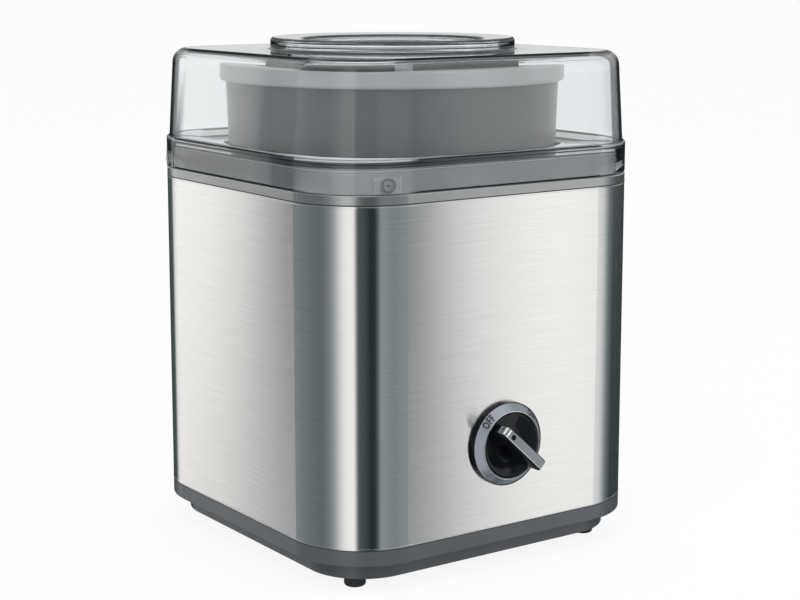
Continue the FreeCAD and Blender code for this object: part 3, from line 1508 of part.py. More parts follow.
def make_switch_screws():
    """Two screws through the bracket into the dial ring's studs."""
    body = new_body("switch_screws")
    seat = -(s.sleeve_wall + s.bracket_wall)
    shanks = new_sketch(body, "Shanks", "XZ_Plane", seat)
    draw_circles(shanks, switch_screw_places(), s.screw_radius)
    pad(body, shanks, s.sleeve_wall + s.bracket_wall + s.bezel_web / 4)
    heads = new_sketch(body, "Heads", "XZ_Plane", seat)
    draw_circles(heads, switch_screw_places(), s.screw_head_radius)
    pad(body, heads, s.screw_head_height, backwards=True)
    place_on_dial(body)


# ---------------------------------------------------------------- mains entry

def make_cord_bushing():
    """Grommet in the back of the sleeve where the mains cord would enter."""
    body = new_body("cord_bushing")
    flange = s.bushing_radius + s.bushing_flange_width
    inner_end = s.sleeve_wall + s.slip_gap
    revolve(body, "Profile", [
        (s.cord_hole_radius, -inner_end - s.bushing_flange), (flange, -inner_end - s.bushing_flange),
        (flange, -inner_end), (s.bushing_radius, -inner_end), (s.bushing_radius, s.running_gap),
        (flange, s.running_gap), (flange, s.bushing_flange), (s.cord_hole_radius, s.bushing_flange)])
    body.Placement = FreeCAD.Placement(
        FreeCAD.Vector(0, 0, 0), FreeCAD.Rotation(FreeCAD.Vector(1, 0, 0), -90))
    place(body, cord_entry_offset, back_face, s.cord_entry_level)


def make_terminal_block():
    """Terminal block that stands on the chassis flange beside the cord entry."""
    body = new_body("terminal_block")
    block = new_sketch(body, "Block", offset=flange_top)
    low = -s.terminal_width / 2
    high = s.terminal_width / 2
    draw_rectangle(block, low, high, -s.terminal_depth / 2, s.terminal_depth / 2)
    pad(body, block, s.terminal_height)
    pole = s.terminal_width / s.terminal_pole_count
    well = new_sketch(body, "PoleWell", offset=flange_top + s.terminal_height)
    draw_circles(well, [(low + pole / 2, ZERO)], pole / 4)
    first_well = pocket(body, well, s.terminal_height / 2)
    pattern = body.newObject("PartDesign::LinearPattern", "Poles")
    pattern.Originals = [first_well]
    x_axis = [line for line in body.Origin.OriginFeatures if line.Role == "X_Axis"][0]
    pattern.Direction = (x_axis, [""])
    bind(pattern, "Length", pole * (s.terminal_pole_count - 1))
    bind(pattern, "Occurrences", s.terminal_pole_count)
    body.Tip = pattern
    stand = s.body_depth / 2 - s.plinth_inset - s.terminal_depth
    place(body, ZERO - cord_entry_offset / 2, stand)


# ---------------------------------------------------------------- build and write

def build():
    """Make every piece."""
    make_feet()
    make_bottom_cover()
    make_cover_screws()
    make_chassis()
    make_sleeve()
    make_rear_panel()
    make_deck()
    make_well_tub()
    make_tub_screws()
    make_gear_case()
    make_case_cover()
    make_case_screws()
    make_bushes()
    make_shaft_seal()
    make_output_wheel()
    make_reduction_gear()
    make_reduction_pin()
    make_output_shaft()
    make_motor_stack()
    make_motor_coil()
    make_motor_frames()
    make_rotor()
    make_fan()
    make_drive_hub()
    make_bowl_shell()
    make_bowl_liner()
    make_coolant()
    make_bowl_rim()
    make_rim_gasket()
    make_paddle()
    make_lid()
    make_bezel()
    make_knob()
    make_grip_trim()
    make_spindle()
    make_switch_bracket()
    make_switch_body()
    make_switch_screws()
    make_cord_bushing()
    make_terminal_block()


def sub_parts():
    """The document's finished pieces: its bodies and its free-standing shapes."""
    kinds = ("PartDesign::Body", "Part::Feature", "Part::Cylinder")
    return [item for item in doc.Objects if item.TypeId in kinds]


def check_document():
    """Stop before writing when any object failed or any piece has no sound shape."""
    for item in doc.Objects:
        if "Invalid" in item.State or "Error" in item.State:
            raise RuntimeError(f"{item.Label} ({item.Name}) of {item.getParentGroup()} failed")
    for piece in sub_parts():
        if piece.Shape.isNull() or not piece.Shape.isValid() or piece.Shape.Volume <= 0:
            raise RuntimeError(f"{piece.Label} has no sound shape")


def write_pieces():
    """Write each piece to its own STEP file."""
    os.makedirs("parts", exist_ok=True)
    for piece in sub_parts():
        piece.Shape.exportStep(f"parts/{piece.Label}.step")
        print(f"{piece.Label:22s} {len(piece.Shape.Solids)} solid, {piece.Shape.Volume:11.1f} mm3")


build()
doc.recompute()
check_document()
write_pieces()
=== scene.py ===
# %% [markdown]
# # A countertop ice cream maker
# The machine stands on a table: a square housing of brushed steel with round
# corners, a freezer bowl that a geared motor turns, a clear lid and a rotary
# switch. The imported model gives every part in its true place, in metres. This
# notebook dresses it: it makes the light, the finishes and the finer pieces.

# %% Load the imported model
import json
import math

import bmesh
import bpy
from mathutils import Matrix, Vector


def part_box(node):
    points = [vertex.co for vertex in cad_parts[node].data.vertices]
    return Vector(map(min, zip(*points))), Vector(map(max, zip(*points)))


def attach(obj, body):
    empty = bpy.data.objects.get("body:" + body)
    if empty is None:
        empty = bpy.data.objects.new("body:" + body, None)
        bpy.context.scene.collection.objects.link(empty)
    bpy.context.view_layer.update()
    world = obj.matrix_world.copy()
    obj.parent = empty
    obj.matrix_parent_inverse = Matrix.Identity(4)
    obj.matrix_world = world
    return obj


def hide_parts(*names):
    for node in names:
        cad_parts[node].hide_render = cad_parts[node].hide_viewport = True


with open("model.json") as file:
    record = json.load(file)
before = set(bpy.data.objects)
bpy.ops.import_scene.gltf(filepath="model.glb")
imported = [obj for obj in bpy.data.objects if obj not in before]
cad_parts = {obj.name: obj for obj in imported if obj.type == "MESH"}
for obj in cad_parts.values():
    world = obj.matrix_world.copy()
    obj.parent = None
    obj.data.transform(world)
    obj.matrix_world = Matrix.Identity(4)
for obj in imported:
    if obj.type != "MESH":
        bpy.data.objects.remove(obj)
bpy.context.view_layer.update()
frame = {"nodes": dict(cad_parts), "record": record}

# %% [markdown]
# ## Measures that the pieces share
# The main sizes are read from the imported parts, so that nothing here can
# disagree with them. A part's box gives its lowest and its highest corner.

# %% Read the shared measures
MM = 0.001

sleeve_low, sleeve_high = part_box("steel_sleeve")
deck_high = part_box("top_deck")[1]
lid_low, lid_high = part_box("clear_lid")
dial_low, dial_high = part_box("dial_bezel")
front = sleeve_low.y
dial_centre = Vector((0.0, front, (dial_low.z + dial_high.z) / 2))
print("housing width", round((sleeve_high.x - sleeve_low.x) / MM, 2), "mm")

# %% [markdown]
# ## The camera
# A long lens from the front left corner, a little above the lid, looking
# slightly down. A small shift of the lens keeps the upright edges nearly
# parallel. It is kept small, so that every other view is framed as well.

# %% Place the camera
SENSOR_WIDTH = 36.0
IMAGE_WIDTH = 800
FOCAL_PIXELS = 1788.0
CAMERA_PLACE = (-0.576, -0.829, 0.322)
CAMERA_YAW = 35.03
CAMERA_PITCH = 9.39
CAMERA_SHIFT = -0.05


def add_object(name, data):
    """An object that holds this data, linked to the scene."""
    holder = bpy.data.objects.new(name, data)
    bpy.context.scene.collection.objects.link(holder)
    return holder


camera_data = bpy.data.cameras.new("camera")
camera_data.sensor_width = SENSOR_WIDTH
camera_data.sensor_fit = "HORIZONTAL"
camera_data.lens = FOCAL_PIXELS / IMAGE_WIDTH * SENSOR_WIDTH
camera_data.shift_y = CAMERA_SHIFT
camera = add_object("camera", camera_data)
camera.location = CAMERA_PLACE
camera.rotation_euler = (math.radians(90 - CAMERA_PITCH), 0, math.radians(-CAMERA_YAW))
bpy.context.scene.camera = camera
print("lens", round(camera_data.lens, 1), "mm")

# %% [markdown]
# ## A short way to write node trees
# Finishes, the light and the shape trees are all made of nodes. A few helpers
# keep them readable: they add a node, fill its inputs and give back what it
# makes, so that one node is handed to the next like a number.

# %% Add nodes and fill their inputs


def fill(tree, node, inputs):
    """Fill a node's inputs: an output is linked, anything else is set as a value."""
    for socket, value in inputs.items():
        if isinstance(value, bpy.types.NodeSocket):
            tree.links.new(value, node.inputs[socket])
        else:
            node.inputs[socket].default_value = value


def add_node(tree, kind, inputs=None, **settings):
    """Add a node, set its options and fill its inputs."""
    node = tree.nodes.new(kind)
    for option, value in settings.items():
        setattr(node, option, value)
    fill(tree, node, inputs or {})
    return node


def made(tree, kind, inputs=None, **settings):
    """Add a node and give back its first output."""
    return add_node(tree, kind, inputs, **settings).outputs[0]


def maths(tree, operation, first, second=0.0):
    """The result of one Math node."""
    return made(tree, "ShaderNodeMath", {0: first, 1: second}, operation=operation)


def vector(tree, x=0.0, y=0.0, z=0.0):
    """Three numbers joined into a vector."""
    return made(tree, "ShaderNodeCombineXYZ", {"X": x, "Y": y, "Z": z})


# %% [markdown]
# Four kinds of node come back in nearly every tree, so each has a function of
# its own.

# %% Scale, grade and mix


def remap(tree, value, span, result=(0.0, 1.0)):
    """A value moved from one span of numbers to another."""
    return made(tree, "ShaderNodeMapRange", {
        "Value": value, "From Min": span[0], "From Max": span[1],
        "To Min": result[0], "To Max": result[1]})


def ramp(tree, factor, stops):
    """A colour ramp with grey or coloured stops, given as (place, value)."""
    node = add_node(tree, "ShaderNodeValToRGB", {"Fac": factor})
    points = node.color_ramp.elements
    while len(points) < len(stops):
        points.new(0.5)
    for point, (place, value) in zip(points, stops):
        point.position = place
        colour = value if isinstance(value, tuple) else (value, value, value)
        point.color = (*colour, 1.0)
    return node.outputs["Color"]


def mix_colours(tree, factor, first, second):
    """Two colours blended by a factor."""
    mix = add_node(tree, "ShaderNodeMix", {"Factor": factor, "A": first, "B": second},
                   data_type="RGBA")
    return mix.outputs["Result"]


def mix_shaders(tree, factor, first, second):
    """Two shaders blended by a factor."""
    return made(tree, "ShaderNodeMixShader", {0: factor, 1: first, 2: second})


# %% [markdown]
# ## The studio
# Polished and brushed metal shows its surroundings, so the room matters more
# than the lamps. Around the machine stand tall soft boxes and dark flags. The
# table below gives their bearings in degrees, counted from the machine's left
# side towards its front, each with its brightness. A world shader can hold
# them all without a single object. Two of the soft boxes are graded from one
# edge to the other, and have a short table of their own, because a flat side
# of the housing mirrors only a few degrees of the room.

# %% List the soft boxes
SOFT_BOXES = [
    (-180, 0.03), (-100, 0.04), (-80, 0.06), (-74, 0.62), (-66, 0.86), (-61, 0.86),
    (-58, 0.20), (-43, 0.17), (-25, 0.14), (-7, 0.115), (0, 0.135), (6, 0.17), (12, 0.24),
    (18, 0.38), (24, 0.58), (30, 0.75), (36, 0.81), (44, 0.83), (47.5, 0.30), (50, 0.07),
    (62, 0.045), (67, 0.018), (75, 0.018), (79, 0.10), (83, 0.25), (103, 0.20), (124, 0.235),
    (129, 0.85), (133, 0.74), (143, 0.56), (156, 0.17), (170, 0.03),
]
LEFT_GRADE = [
    (-62.2, 1.0), (-61.3, 0.93), (-60.3, 0.82), (-59.7, 0.74), (-59.25, 0.45), (-59.0, 0.04),
    (-58.6, 0.0), (-56.6, 0.0), (-56.0, 0.14), (-55.6, 0.20),
]
FRONT_GRADE = [
    (123.2, 0.23), (123.8, 0.10), (125.4, 0.0), (126.1, 0.30), (126.8, 0.59), (127.6, 0.74),
    (129.4, 0.85), (130.3, 1.0), (130.9, 1.0), (131.4, 0.80),
]
print("stops in the tables:", len(SOFT_BOXES), len(LEFT_GRADE), len(FRONT_GRADE))

# %% [markdown]
# The bearing of a direction is its angle round the upright axis. A ramp over
# the full turn gives the soft boxes, and each graded one is set into it over
# its own few degrees, where a ramp of its own is fine enough. Dark places are
# slightly blue and bright ones slightly warm, as studio light is.

# %% Stand the soft boxes round the machine
world = bpy.data.worlds.new("studio")
world.use_nodes = True
bpy.context.scene.world = world
tree = world.node_tree
tree.nodes.clear()
direction = add_node(tree, "ShaderNodeTexCoord").outputs["Generated"]
way = add_node(tree, "ShaderNodeSeparateXYZ", {0: direction}).outputs
to_left = maths(tree, "MULTIPLY", way["X"], -1.0)
to_front = maths(tree, "MULTIPLY", way["Y"], -1.0)
bearing = maths(tree, "ARCTAN2", to_front, to_left)
turn = maths(tree, "ADD", maths(tree, "DIVIDE", bearing, 2 * math.pi), 0.5)
degrees = maths(tree, "MULTIPLY", bearing, 180 / math.pi)


def graded_box(surround, stops):
    """A soft box with its own grading between its edges, set into the surround."""
    first, last = stops[0][0], stops[-1][0]
    grading = ramp(tree, remap(tree, degrees, (first, last)),
                   [((place - first) / (last - first), level) for place, level in stops])
    inside = maths(tree, "MULTIPLY", maths(tree, "GREATER_THAN", degrees, first),
                   maths(tree, "LESS_THAN", degrees, last))
    return mix_colours(tree, inside, surround, grading)


boxes = ramp(tree, turn, [((place + 180) / 360, level) for place, level in SOFT_BOXES])
for grade in (LEFT_GRADE, FRONT_GRADE):
    boxes = graded_box(boxes, grade)
tinted = ramp(tree, boxes, [
    (0.0, 0.0), (0.02, (0.014, 0.022, 0.023)), (0.06, (0.050, 0.065, 0.066)),
    (0.25, (0.228, 0.256, 0.268)), (0.6, (0.60, 0.605, 0.60)), (1.0, (1.0, 0.985, 0.965))])
print("nodes for the soft boxes:", len(tree.nodes))

# %% [markdown]
# Over the soft boxes hangs a white ceiling cloth. Behind the machine, just over
# the table's edge, stands white paper, which the lid's flat top mirrors at a
# very low angle. One more soft box hangs high in front and draws the thin
# bright lines on rounded edges. Heights are given as the upright part of a
# direction, from 0 at the horizon to 1 overhead, and widths as a share of the
# full turn.

# %% Hang the ceiling, the back paper and the high soft box
WHITE = (1, 1, 1, 1)
BACK_LEVEL = 0.58

ceiling = ramp(tree, way["Z"], [(0.0, 0.0), (0.55, 0.0), (0.9, 1.0)])
above_table = ramp(tree, way["Z"], [(0.0, 0.0), (0.002, 0.0), (0.015, 1.0)])
behind = ramp(tree, turn, [(0.0, BACK_LEVEL), (0.26, BACK_LEVEL), (0.30, 0.0), (0.94, 0.0),
                           (0.98, BACK_LEVEL)])
back_paper = maths(tree, "MULTIPLY", above_table, behind)
room = mix_colours(tree, maths(tree, "MAXIMUM", ceiling, back_paper), tinted, WHITE)
high_level = ramp(tree, way["Z"], [(0.50, 0.0), (0.56, 1.0), (0.97, 1.0), (0.99, 0.0)])
high_way = ramp(tree, turn, [(0.45, 0.0), (0.47, 1.0), (0.71, 1.0), (0.73, 0.0)])
high_place = maths(tree, "MULTIPLY", high_level, high_way)
print("brightness of the back paper:", BACK_LEVEL)

# %% [markdown]
# The kind of ray decides what the world is. The camera and the clear lid see
# white paper, a plain surface gets an even light, and a mirror ray sees the
# studio. The high soft box counts only for a first mirror ray, so that it
# makes no noise inside the clear lid.

# %% Choose what each kind of ray sees
EVEN_LIGHT = 0.80
STUDIO_STRENGTH = 1.28
HIGH_BOX_STRENGTH = 24.0
FIRST_BOUNCE = 1.5


def seen_by_eye(tree, paths):
    """Whether the camera sees this, straight or through clear plastic."""
    return maths(tree, "MAXIMUM", paths["Is Camera Ray"], paths["Is Transmission Ray"])


paths = add_node(tree, "ShaderNodeLightPath").outputs
first_mirror = maths(tree, "LESS_THAN", paths["Ray Depth"], FIRST_BOUNCE)
high_box = maths(tree, "MULTIPLY", high_place, first_mirror)
studio_level = maths(tree, "ADD", maths(tree, "MULTIPLY", high_box, HIGH_BOX_STRENGTH),
                     STUDIO_STRENGTH)
plain = made(tree, "ShaderNodeBackground", {"Color": WHITE, "Strength": EVEN_LIGHT})
studio = made(tree, "ShaderNodeBackground", {"Color": room, "Strength": studio_level})
paper = made(tree, "ShaderNodeBackground", {"Color": WHITE, "Strength": 1.0})
mirrored = mix_shaders(tree, paths["Is Glossy Ray"], plain, studio)
shown = mix_shaders(tree, seen_by_eye(tree, paths), mirrored, paper)
add_node(tree, "ShaderNodeOutputWorld", {"Surface": shown})
print("nodes in the world:", len(tree.nodes))

# %% [markdown]
# Two area lamps give the plain surfaces their shape: a large one from the
# upper left and a weaker one from the right. They are hidden from mirror
# rays, because the metal already sees the soft boxes.

# %% Hang the lamps
MACHINE_MIDDLE = Vector((0, 0, 0.15))


def hang_lamp(name, place, size, watts):
    """A square area lamp that points at the middle of the machine."""
    lamp = bpy.data.lights.new(name, "AREA")
    lamp.size = size
    lamp.energy = watts
    holder = add_object(name, lamp)
    holder.location = place
    aim = MACHINE_MIDDLE - Vector(place)
    holder.rotation_euler = aim.to_track_quat("-Z", "Y").to_euler()
    holder.visible_glossy = False
    holder.visible_transmission = False
    print(name, "with", watts, "W")


hang_lamp("lamp_left", (-0.9, -0.7, 1.3), size=0.9, watts=9.0)
hang_lamp("lamp_right", (1.1, -0.9, 0.9), size=0.7, watts=5.0)

# %% [markdown]
# The table top is white. For the camera most of its colour is a glow of
# strength 1, which is paper white, and the rest is a plain white surface
# that keeps the machine's soft shadow. Mirror rays pass through it to the
# studio, so that the soft boxes run the full height of the steel.

# %% Lay the table top
TABLE_HALF = 60.0
GLOW_SHARE = 0.9

table_mesh = bpy.data.meshes.new("table_top")
table_corners = [(x * TABLE_HALF, y * TABLE_HALF, 0)
                 for x, y in ((-1, -1), (1, -1), (1, 1), (-1, 1))]
table_mesh.from_pydata(table_corners, [], [(0, 1, 2, 3)])
table_top = add_object("table_top", table_mesh)
table_paint = bpy.data.materials.new("table_paper")
table_paint.use_nodes = True
tree = table_paint.node_tree
tree.nodes.clear()
paths = add_node(tree, "ShaderNodeLightPath").outputs
surface = made(tree, "ShaderNodeBsdfDiffuse", {"Color": WHITE})
glow = made(tree, "ShaderNodeEmission", {"Color": WHITE, "Strength": 1.0})
glowing = maths(tree, "MULTIPLY", seen_by_eye(tree, paths), GLOW_SHARE)
lit = mix_shaders(tree, glowing, surface, glow)
passed = mix_shaders(tree, paths["Is Glossy Ray"], lit, made(tree, "ShaderNodeBsdfTransparent"))
add_node(tree, "ShaderNodeOutputMaterial", {"Surface": passed})
table_mesh.materials.append(table_paint)
bpy.context.scene.view_settings.view_transform = "Standard"
print("table top:", 2 * TABLE_HALF, "m wide")

# %% [markdown]
# ## Finishes
# A moulded or cast surface is never one flat tone. Each finish varies its
# colour a little over centimetres, its gloss over millimetres, and has the
# fine grain of the mould as bump. All three patterns are noise, with sizes
# in millimetres.

# %% Make patterns from noise
NOISE_SPAN = (0.3, 0.7)


def pattern(tree, size_mm, detail=3.0, stretch=(1, 1, 1)):
    """Noise in the machine's own coordinates, with features of that size."""
    place = add_node(tree, "ShaderNodeTexCoord").outputs["Object"]
    scale = [1 / (size_mm * MM * along) for along in stretch]
    mapped = made(tree, "ShaderNodeMapping", {"Vector": place, "Scale": scale})
    noise = add_node(tree, "ShaderNodeTexNoise", {
        "Vector": mapped, "Scale": 1.0, "Detail": detail, "Roughness": 0.55})
    return noise.outputs["Fac"]


def spread(tree, noise, low, high):
    """A noise turned into a value from low to high."""
    return remap(tree, noise, NOISE_SPAN, (low, high))


def two_tones(tree, noise, first, second):
    """Two colours blended by a noise."""
    return mix_colours(tree, spread(tree, noise, 0.0, 1.0), (*first, 1), (*second, 1))


def bumped(tree, height, strength, depth_mm):
    """The direction of a surface with this height as bump."""
    return made(tree, "ShaderNodeBump", {
        "Height": height, "Strength": strength, "Distance": depth_mm * MM})


# %% [markdown]
# One helper makes every moulded and cast finish. Each can be given its own
# tone, grain and depth of grain, and a stretch for grain that runs one way.

# %% Describe a moulded finish
TONE_MM, GLOSS_MM = 45, 6


def new_finish(name):
    """An empty finish: its material, its tree and its main shader."""
    material = bpy.data.materials.new(name)
    material.use_nodes = True
    tree = material.node_tree
    return material, tree, tree.nodes["Principled BSDF"]


def moulded(name, colour, gloss, tone=0.08, metal=0.0, grain_mm=0.35, depth_mm=0.004,
            stretch=(1, 1, 1)):
    """A moulded, cast or pressed surface: tone, gloss and grain all vary."""
    material, tree, shader = new_finish(name)
    lighter = [min(1.0, part * (1 + tone)) for part in colour]
    darker = [part * (1 - tone) for part in colour]
    fill(tree, shader, {
        "Base Color": two_tones(tree, pattern(tree, TONE_MM, 2.0), darker, lighter),
        "Roughness": spread(tree, pattern(tree, GLOSS_MM, 4.0), gloss * 0.95, gloss * 1.05),
        "Normal": bumped(tree, pattern(tree, grain_mm, 2.0, stretch), 0.6, depth_mm),
        "Metallic": metal})
    return material


print("tone varies over", TONE_MM, "mm and gloss over", GLOSS_MM, "mm")

# %% [markdown]
# The record names one material slot for every part. This table gives each
# slot its finish: colour, roughness and what kind of surface it is. Plastics
# get a spark-eroded grain, castings and sintered bronze a coarser one, and
# machined steel a grain that runs round the part.

# %% Make the plain finishes
FINISHES = {
    "dark_plastic": moulded("dark_moulding", (0.078, 0.085, 0.094), 0.30, grain_mm=0.5),
    "rubber": moulded("black_rubber", (0.030, 0.031, 0.034), 0.62, tone=0.15, grain_mm=0.8,
                      depth_mm=0.02),
    "tub_plastic": moulded("grey_tub", (0.50, 0.51, 0.52), 0.42),
    "case_plastic": moulded("black_case", (0.055, 0.056, 0.060), 0.45, tone=0.12, depth_mm=0.01),
    "plated_steel": moulded("zinc_plate", (0.62, 0.62, 0.60), 0.32, metal=1.0, tone=0.12,
                            grain_mm=0.6, stretch=(1, 1, 0.12)),
    "bronze": moulded("sintered_bronze", (0.52, 0.33, 0.15), 0.42, metal=1.0, tone=0.18,
                      grain_mm=0.25, depth_mm=0.01),
    "core_steel": moulded("laminated_core", (0.22, 0.22, 0.24), 0.48, metal=0.8, tone=0.2,
                          grain_mm=0.5, depth_mm=0.03, stretch=(60, 60, 1)),
    "copper": moulded("enamelled_wire", (0.60, 0.24, 0.09), 0.30, metal=0.7, tone=0.2,
                      grain_mm=0.5, depth_mm=0.06, stretch=(40, 40, 1)),
    "bezel_metal": moulded("bezel_paint", (0.30, 0.33, 0.37), 0.24, metal=0.75, grain_mm=0.3,
                           depth_mm=0.002),
    "gear_plastic": moulded("acetal", (0.80, 0.79, 0.74), 0.38, tone=0.04),
    "bowl_plastic": moulded("bowl_wall", (0.085, 0.090, 0.093), 0.30, metal=0.35, depth_mm=0.001),
    "liner_metal": moulded("spun_aluminium", (0.66, 0.67, 0.68), 0.30, metal=1.0, grain_mm=0.4,
                           depth_mm=0.01, stretch=(8, 8, 0.5)),
    "gel": moulded("coolant_gel", (0.20, 0.42, 0.62), 0.35),
    "rim_plastic": moulded("rim_plastic", (0.335, 0.342, 0.338), 0.30),
    "paddle_plastic": moulded("paddle_plastic", (0.26, 0.275, 0.285), 0.35),
    "knob_black": moulded("knob_black", (0.004, 0.005, 0.007), 0.10, depth_mm=0.001),
    "grip_metal": moulded("grip_plate", (0.80, 0.81, 0.82), 0.16, metal=1.0, depth_mm=0.001),
    "terminal_plastic": moulded("terminal_block", (0.72, 0.70, 0.62), 0.50),
}
knob_shader = FINISHES["knob_black"].node_tree.nodes["Principled BSDF"]
knob_shader.inputs["Specular IOR Level"].default_value = 0.28
print("plain finishes:", len(FINISHES))

# %% [markdown]
# ### Brushed stainless steel
# An abrasive belt draws fine lines along the sheet before it is bent. Along
# the lines the steel mirrors sharply, and across them it smears, so a soft
# box shows as a tall band with crisp sides. Anisotropy on a tangent round the
# vertical axis gives exactly that, and stretched noise draws the lines.

# %% Make the brushed steel
LINE_MM, TONE_LINE_MM = 0.16, 0.22
LINE_STRETCH = (220, 220, 1)

steel, tree, shader = new_finish("brushed_steel")
tones = pattern(tree, TONE_LINE_MM, 2.0, LINE_STRETCH)
lines = pattern(tree, LINE_MM, 3.0, LINE_STRETCH)
fill(tree, shader, {
    "Base Color": two_tones(tree, tones, (0.74, 0.74, 0.735), (0.82, 0.82, 0.815)),
    "Roughness": spread(tree, lines, 0.15, 0.19),
    "Normal": bumped(tree, lines, 0.2, 0.001),
    "Tangent": made(tree, "ShaderNodeTangent", direction_type="RADIAL", axis="Z"),
    "Metallic": 1.0, "Anisotropic": 1.0, "Anisotropic Rotation": 0.25})
FINISHES["steel"] = steel
print("brushed lines:", LINE_MM, "mm wide and", LINE_STRETCH[0], "times as long")

# %% [markdown]
# ### The deck
# The deck is one moulding. Its band on the outside and the lip inside the lid
# are metallised. Only the flat plate and the low bead round the well are pale
# and polished. The finish therefore changes just under the plate, and outside
# the bead, where only the lip stands higher, it changes back above the plate.

# %% Make the deck's finish
WELL_BEAD = 1.4 * MM
PLATE_LEVEL = deck_high.z - WELL_BEAD
FADE_START, FADE_END = 0.03 * MM, 0.15 * MM
PAST_BEAD = (97.5 * MM, 98.5 * MM)
PLATE_COLOUR = (0.86, 0.87, 0.87, 1)

deck_finish = moulded("deck_moulding", (0.46, 0.47, 0.475), 0.24, grain_mm=0.3, depth_mm=0.002)
tree = deck_finish.node_tree
shader = tree.nodes["Principled BSDF"]
band_colour = shader.inputs["Base Color"].links[0].from_socket
band_gloss = shader.inputs["Roughness"].links[0].from_socket
place = add_node(tree, "ShaderNodeTexCoord").outputs["Object"]
axes = add_node(tree, "ShaderNodeSeparateXYZ", {0: place}).outputs
from_axis = add_node(tree, "ShaderNodeVectorMath", {0: vector(tree, axes["X"], axes["Y"])},
                     operation="LENGTH").outputs["Value"]
from_plate = remap(tree, axes["Z"], (PLATE_LEVEL - FADE_END, PLATE_LEVEL - FADE_START))
over_plate = remap(tree, axes["Z"], (PLATE_LEVEL + FADE_START, PLATE_LEVEL + FADE_END))
on_lip = maths(tree, "MULTIPLY", over_plate, remap(tree, from_axis, PAST_BEAD))
on_plate = maths(tree, "SUBTRACT", from_plate, on_lip)
polish = remap(tree, on_plate, (0.0, 1.0), (1.0, 0.3))
fill(tree, shader, {
    "Base Color": mix_colours(tree, on_plate, band_colour, PLATE_COLOUR),
    "Metallic": remap(tree, on_plate, (0.0, 1.0), (0.9, 0.1)),
    "Roughness": maths(tree, "MULTIPLY", band_gloss, polish)})
FINISHES["trim_plastic"] = deck_finish
print("plate at", round(PLATE_LEVEL / MM, 1), "mm")

# %% [markdown]
# ### Clear lid plastic
# The lid is moulded in clear styrene with a faint smoky tint. A shader that
# bends light as plastic does shows what is behind it, absorption inside the
# wall gives the tint, and a slight ripple keeps the wall from looking perfect.

# %% Make the clear plastic
clear_plastic, tree, shader = new_finish("clear_styrene")
fill(tree, shader, {
    "Base Color": (0.97, 0.98, 0.985, 1), "Transmission Weight": 1.0, "IOR": 1.49,
    "Coat Weight": 0.5, "Coat IOR": 1.5, "Coat Roughness": 0.02,
    "Roughness": spread(tree, pattern(tree, 12, 2.0), 0.0, 0.03),
    "Normal": bumped(tree, pattern(tree, 14, 1.0), 0.1, 0.004)})
tint = made(tree, "ShaderNodeVolumeAbsorption", {
    "Color": (0.50, 0.56, 0.60, 1), "Density": 36.0})
FINISHES["clear_plastic"] = clear_plastic
print("finishes:", len(FINISHES))

# %% [markdown]
# Along an edge the eye looks through centimetres of plastic, and the edge
# looks dark. That dark is painted shade: a matte black shader mixed into the
# plastic. The lid's mesh carries two numbers for it in its attribute "edges":
# red paints shade on a place from every side, and green only where the wall
# turns away from the eye. Lamp light may pass straight through, so that the
# bowl is lit.

# %% Paint shade on the plastic's edges
EDGE_SHARE = 0.97

marks = made(tree, "ShaderNodeAttribute", attribute_name="edges")
strengths = add_node(tree, "ShaderNodeSeparateColor", {0: marks}).outputs
turned_away = add_node(tree, "ShaderNodeLayerWeight", {"Blend": 0.5}).outputs["Facing"]
side_painted_shade = ramp(tree, turned_away, [
    (0.0, 0.0), (0.48, 0.0), (0.51, 0.66), (0.67, 0.74), (0.73, 1.0)])
painted_shade_share = maths(tree, "MAXIMUM", maths(tree, "MULTIPLY", side_painted_shade, strengths["Green"]),
                 strengths["Red"])
# The black mixed in here is painted shade, not a colour of the plastic.
painted_edge_black = made(tree, "ShaderNodeBsdfPrincipled", {
    "Base Color": (0.008, 0.013, 0.016, 1), "Roughness": 0.4, "Specular IOR Level": 0.0})
edged = mix_shaders(tree, maths(tree, "MULTIPLY", painted_shade_share, EDGE_SHARE), shader.outputs[0],
                    painted_edge_black)
paths = add_node(tree, "ShaderNodeLightPath").outputs
lamp_light = maths(tree, "MAXIMUM", paths["Is Shadow Ray"], paths["Is Diffuse Ray"])
open_way = made(tree, "ShaderNodeBsdfTransparent", {"Color": (0.93, 0.94, 0.95, 1)})
fill(tree, tree.nodes["Material Output"], {
    "Surface": mix_shaders(tree, lamp_light, edged, open_way), "Volume": tint})
print("nodes in the clear plastic:", len(tree.nodes))

# %% [markdown]
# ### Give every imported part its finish

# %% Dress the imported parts
slot_of = {part["node"]: part["material_slot"] for part in frame["record"]["subparts"]}
for node_name, node_object in frame["nodes"].items():
    node_object.data.materials.clear()
    node_object.data.materials.append(FINISHES[slot_of[node_name]])
print("dressed parts:", len(frame["nodes"]))

# %% [markdown]
# ## Shapes from rings
# Many parts here are closed walls that change from a square with round
# corners to a circle: the lid does so between its edge and its ring. Such a
# wall is made of rings with the same number of points, each at its own height
# and inset, with faces between neighbours. All the care goes into the list of
# rings, which reads like the section in a drawing.

# %% Points round the housing, and along an arc
CORNER_STEPS = 24
SIDE_STEPS = 16
RING_POINTS = 4 * (CORNER_STEPS + SIDE_STEPS)
BODY_HALF_X = sleeve_high.x
BODY_HALF_Y = sleeve_high.y
BODY_CORNER = 42.0 * MM


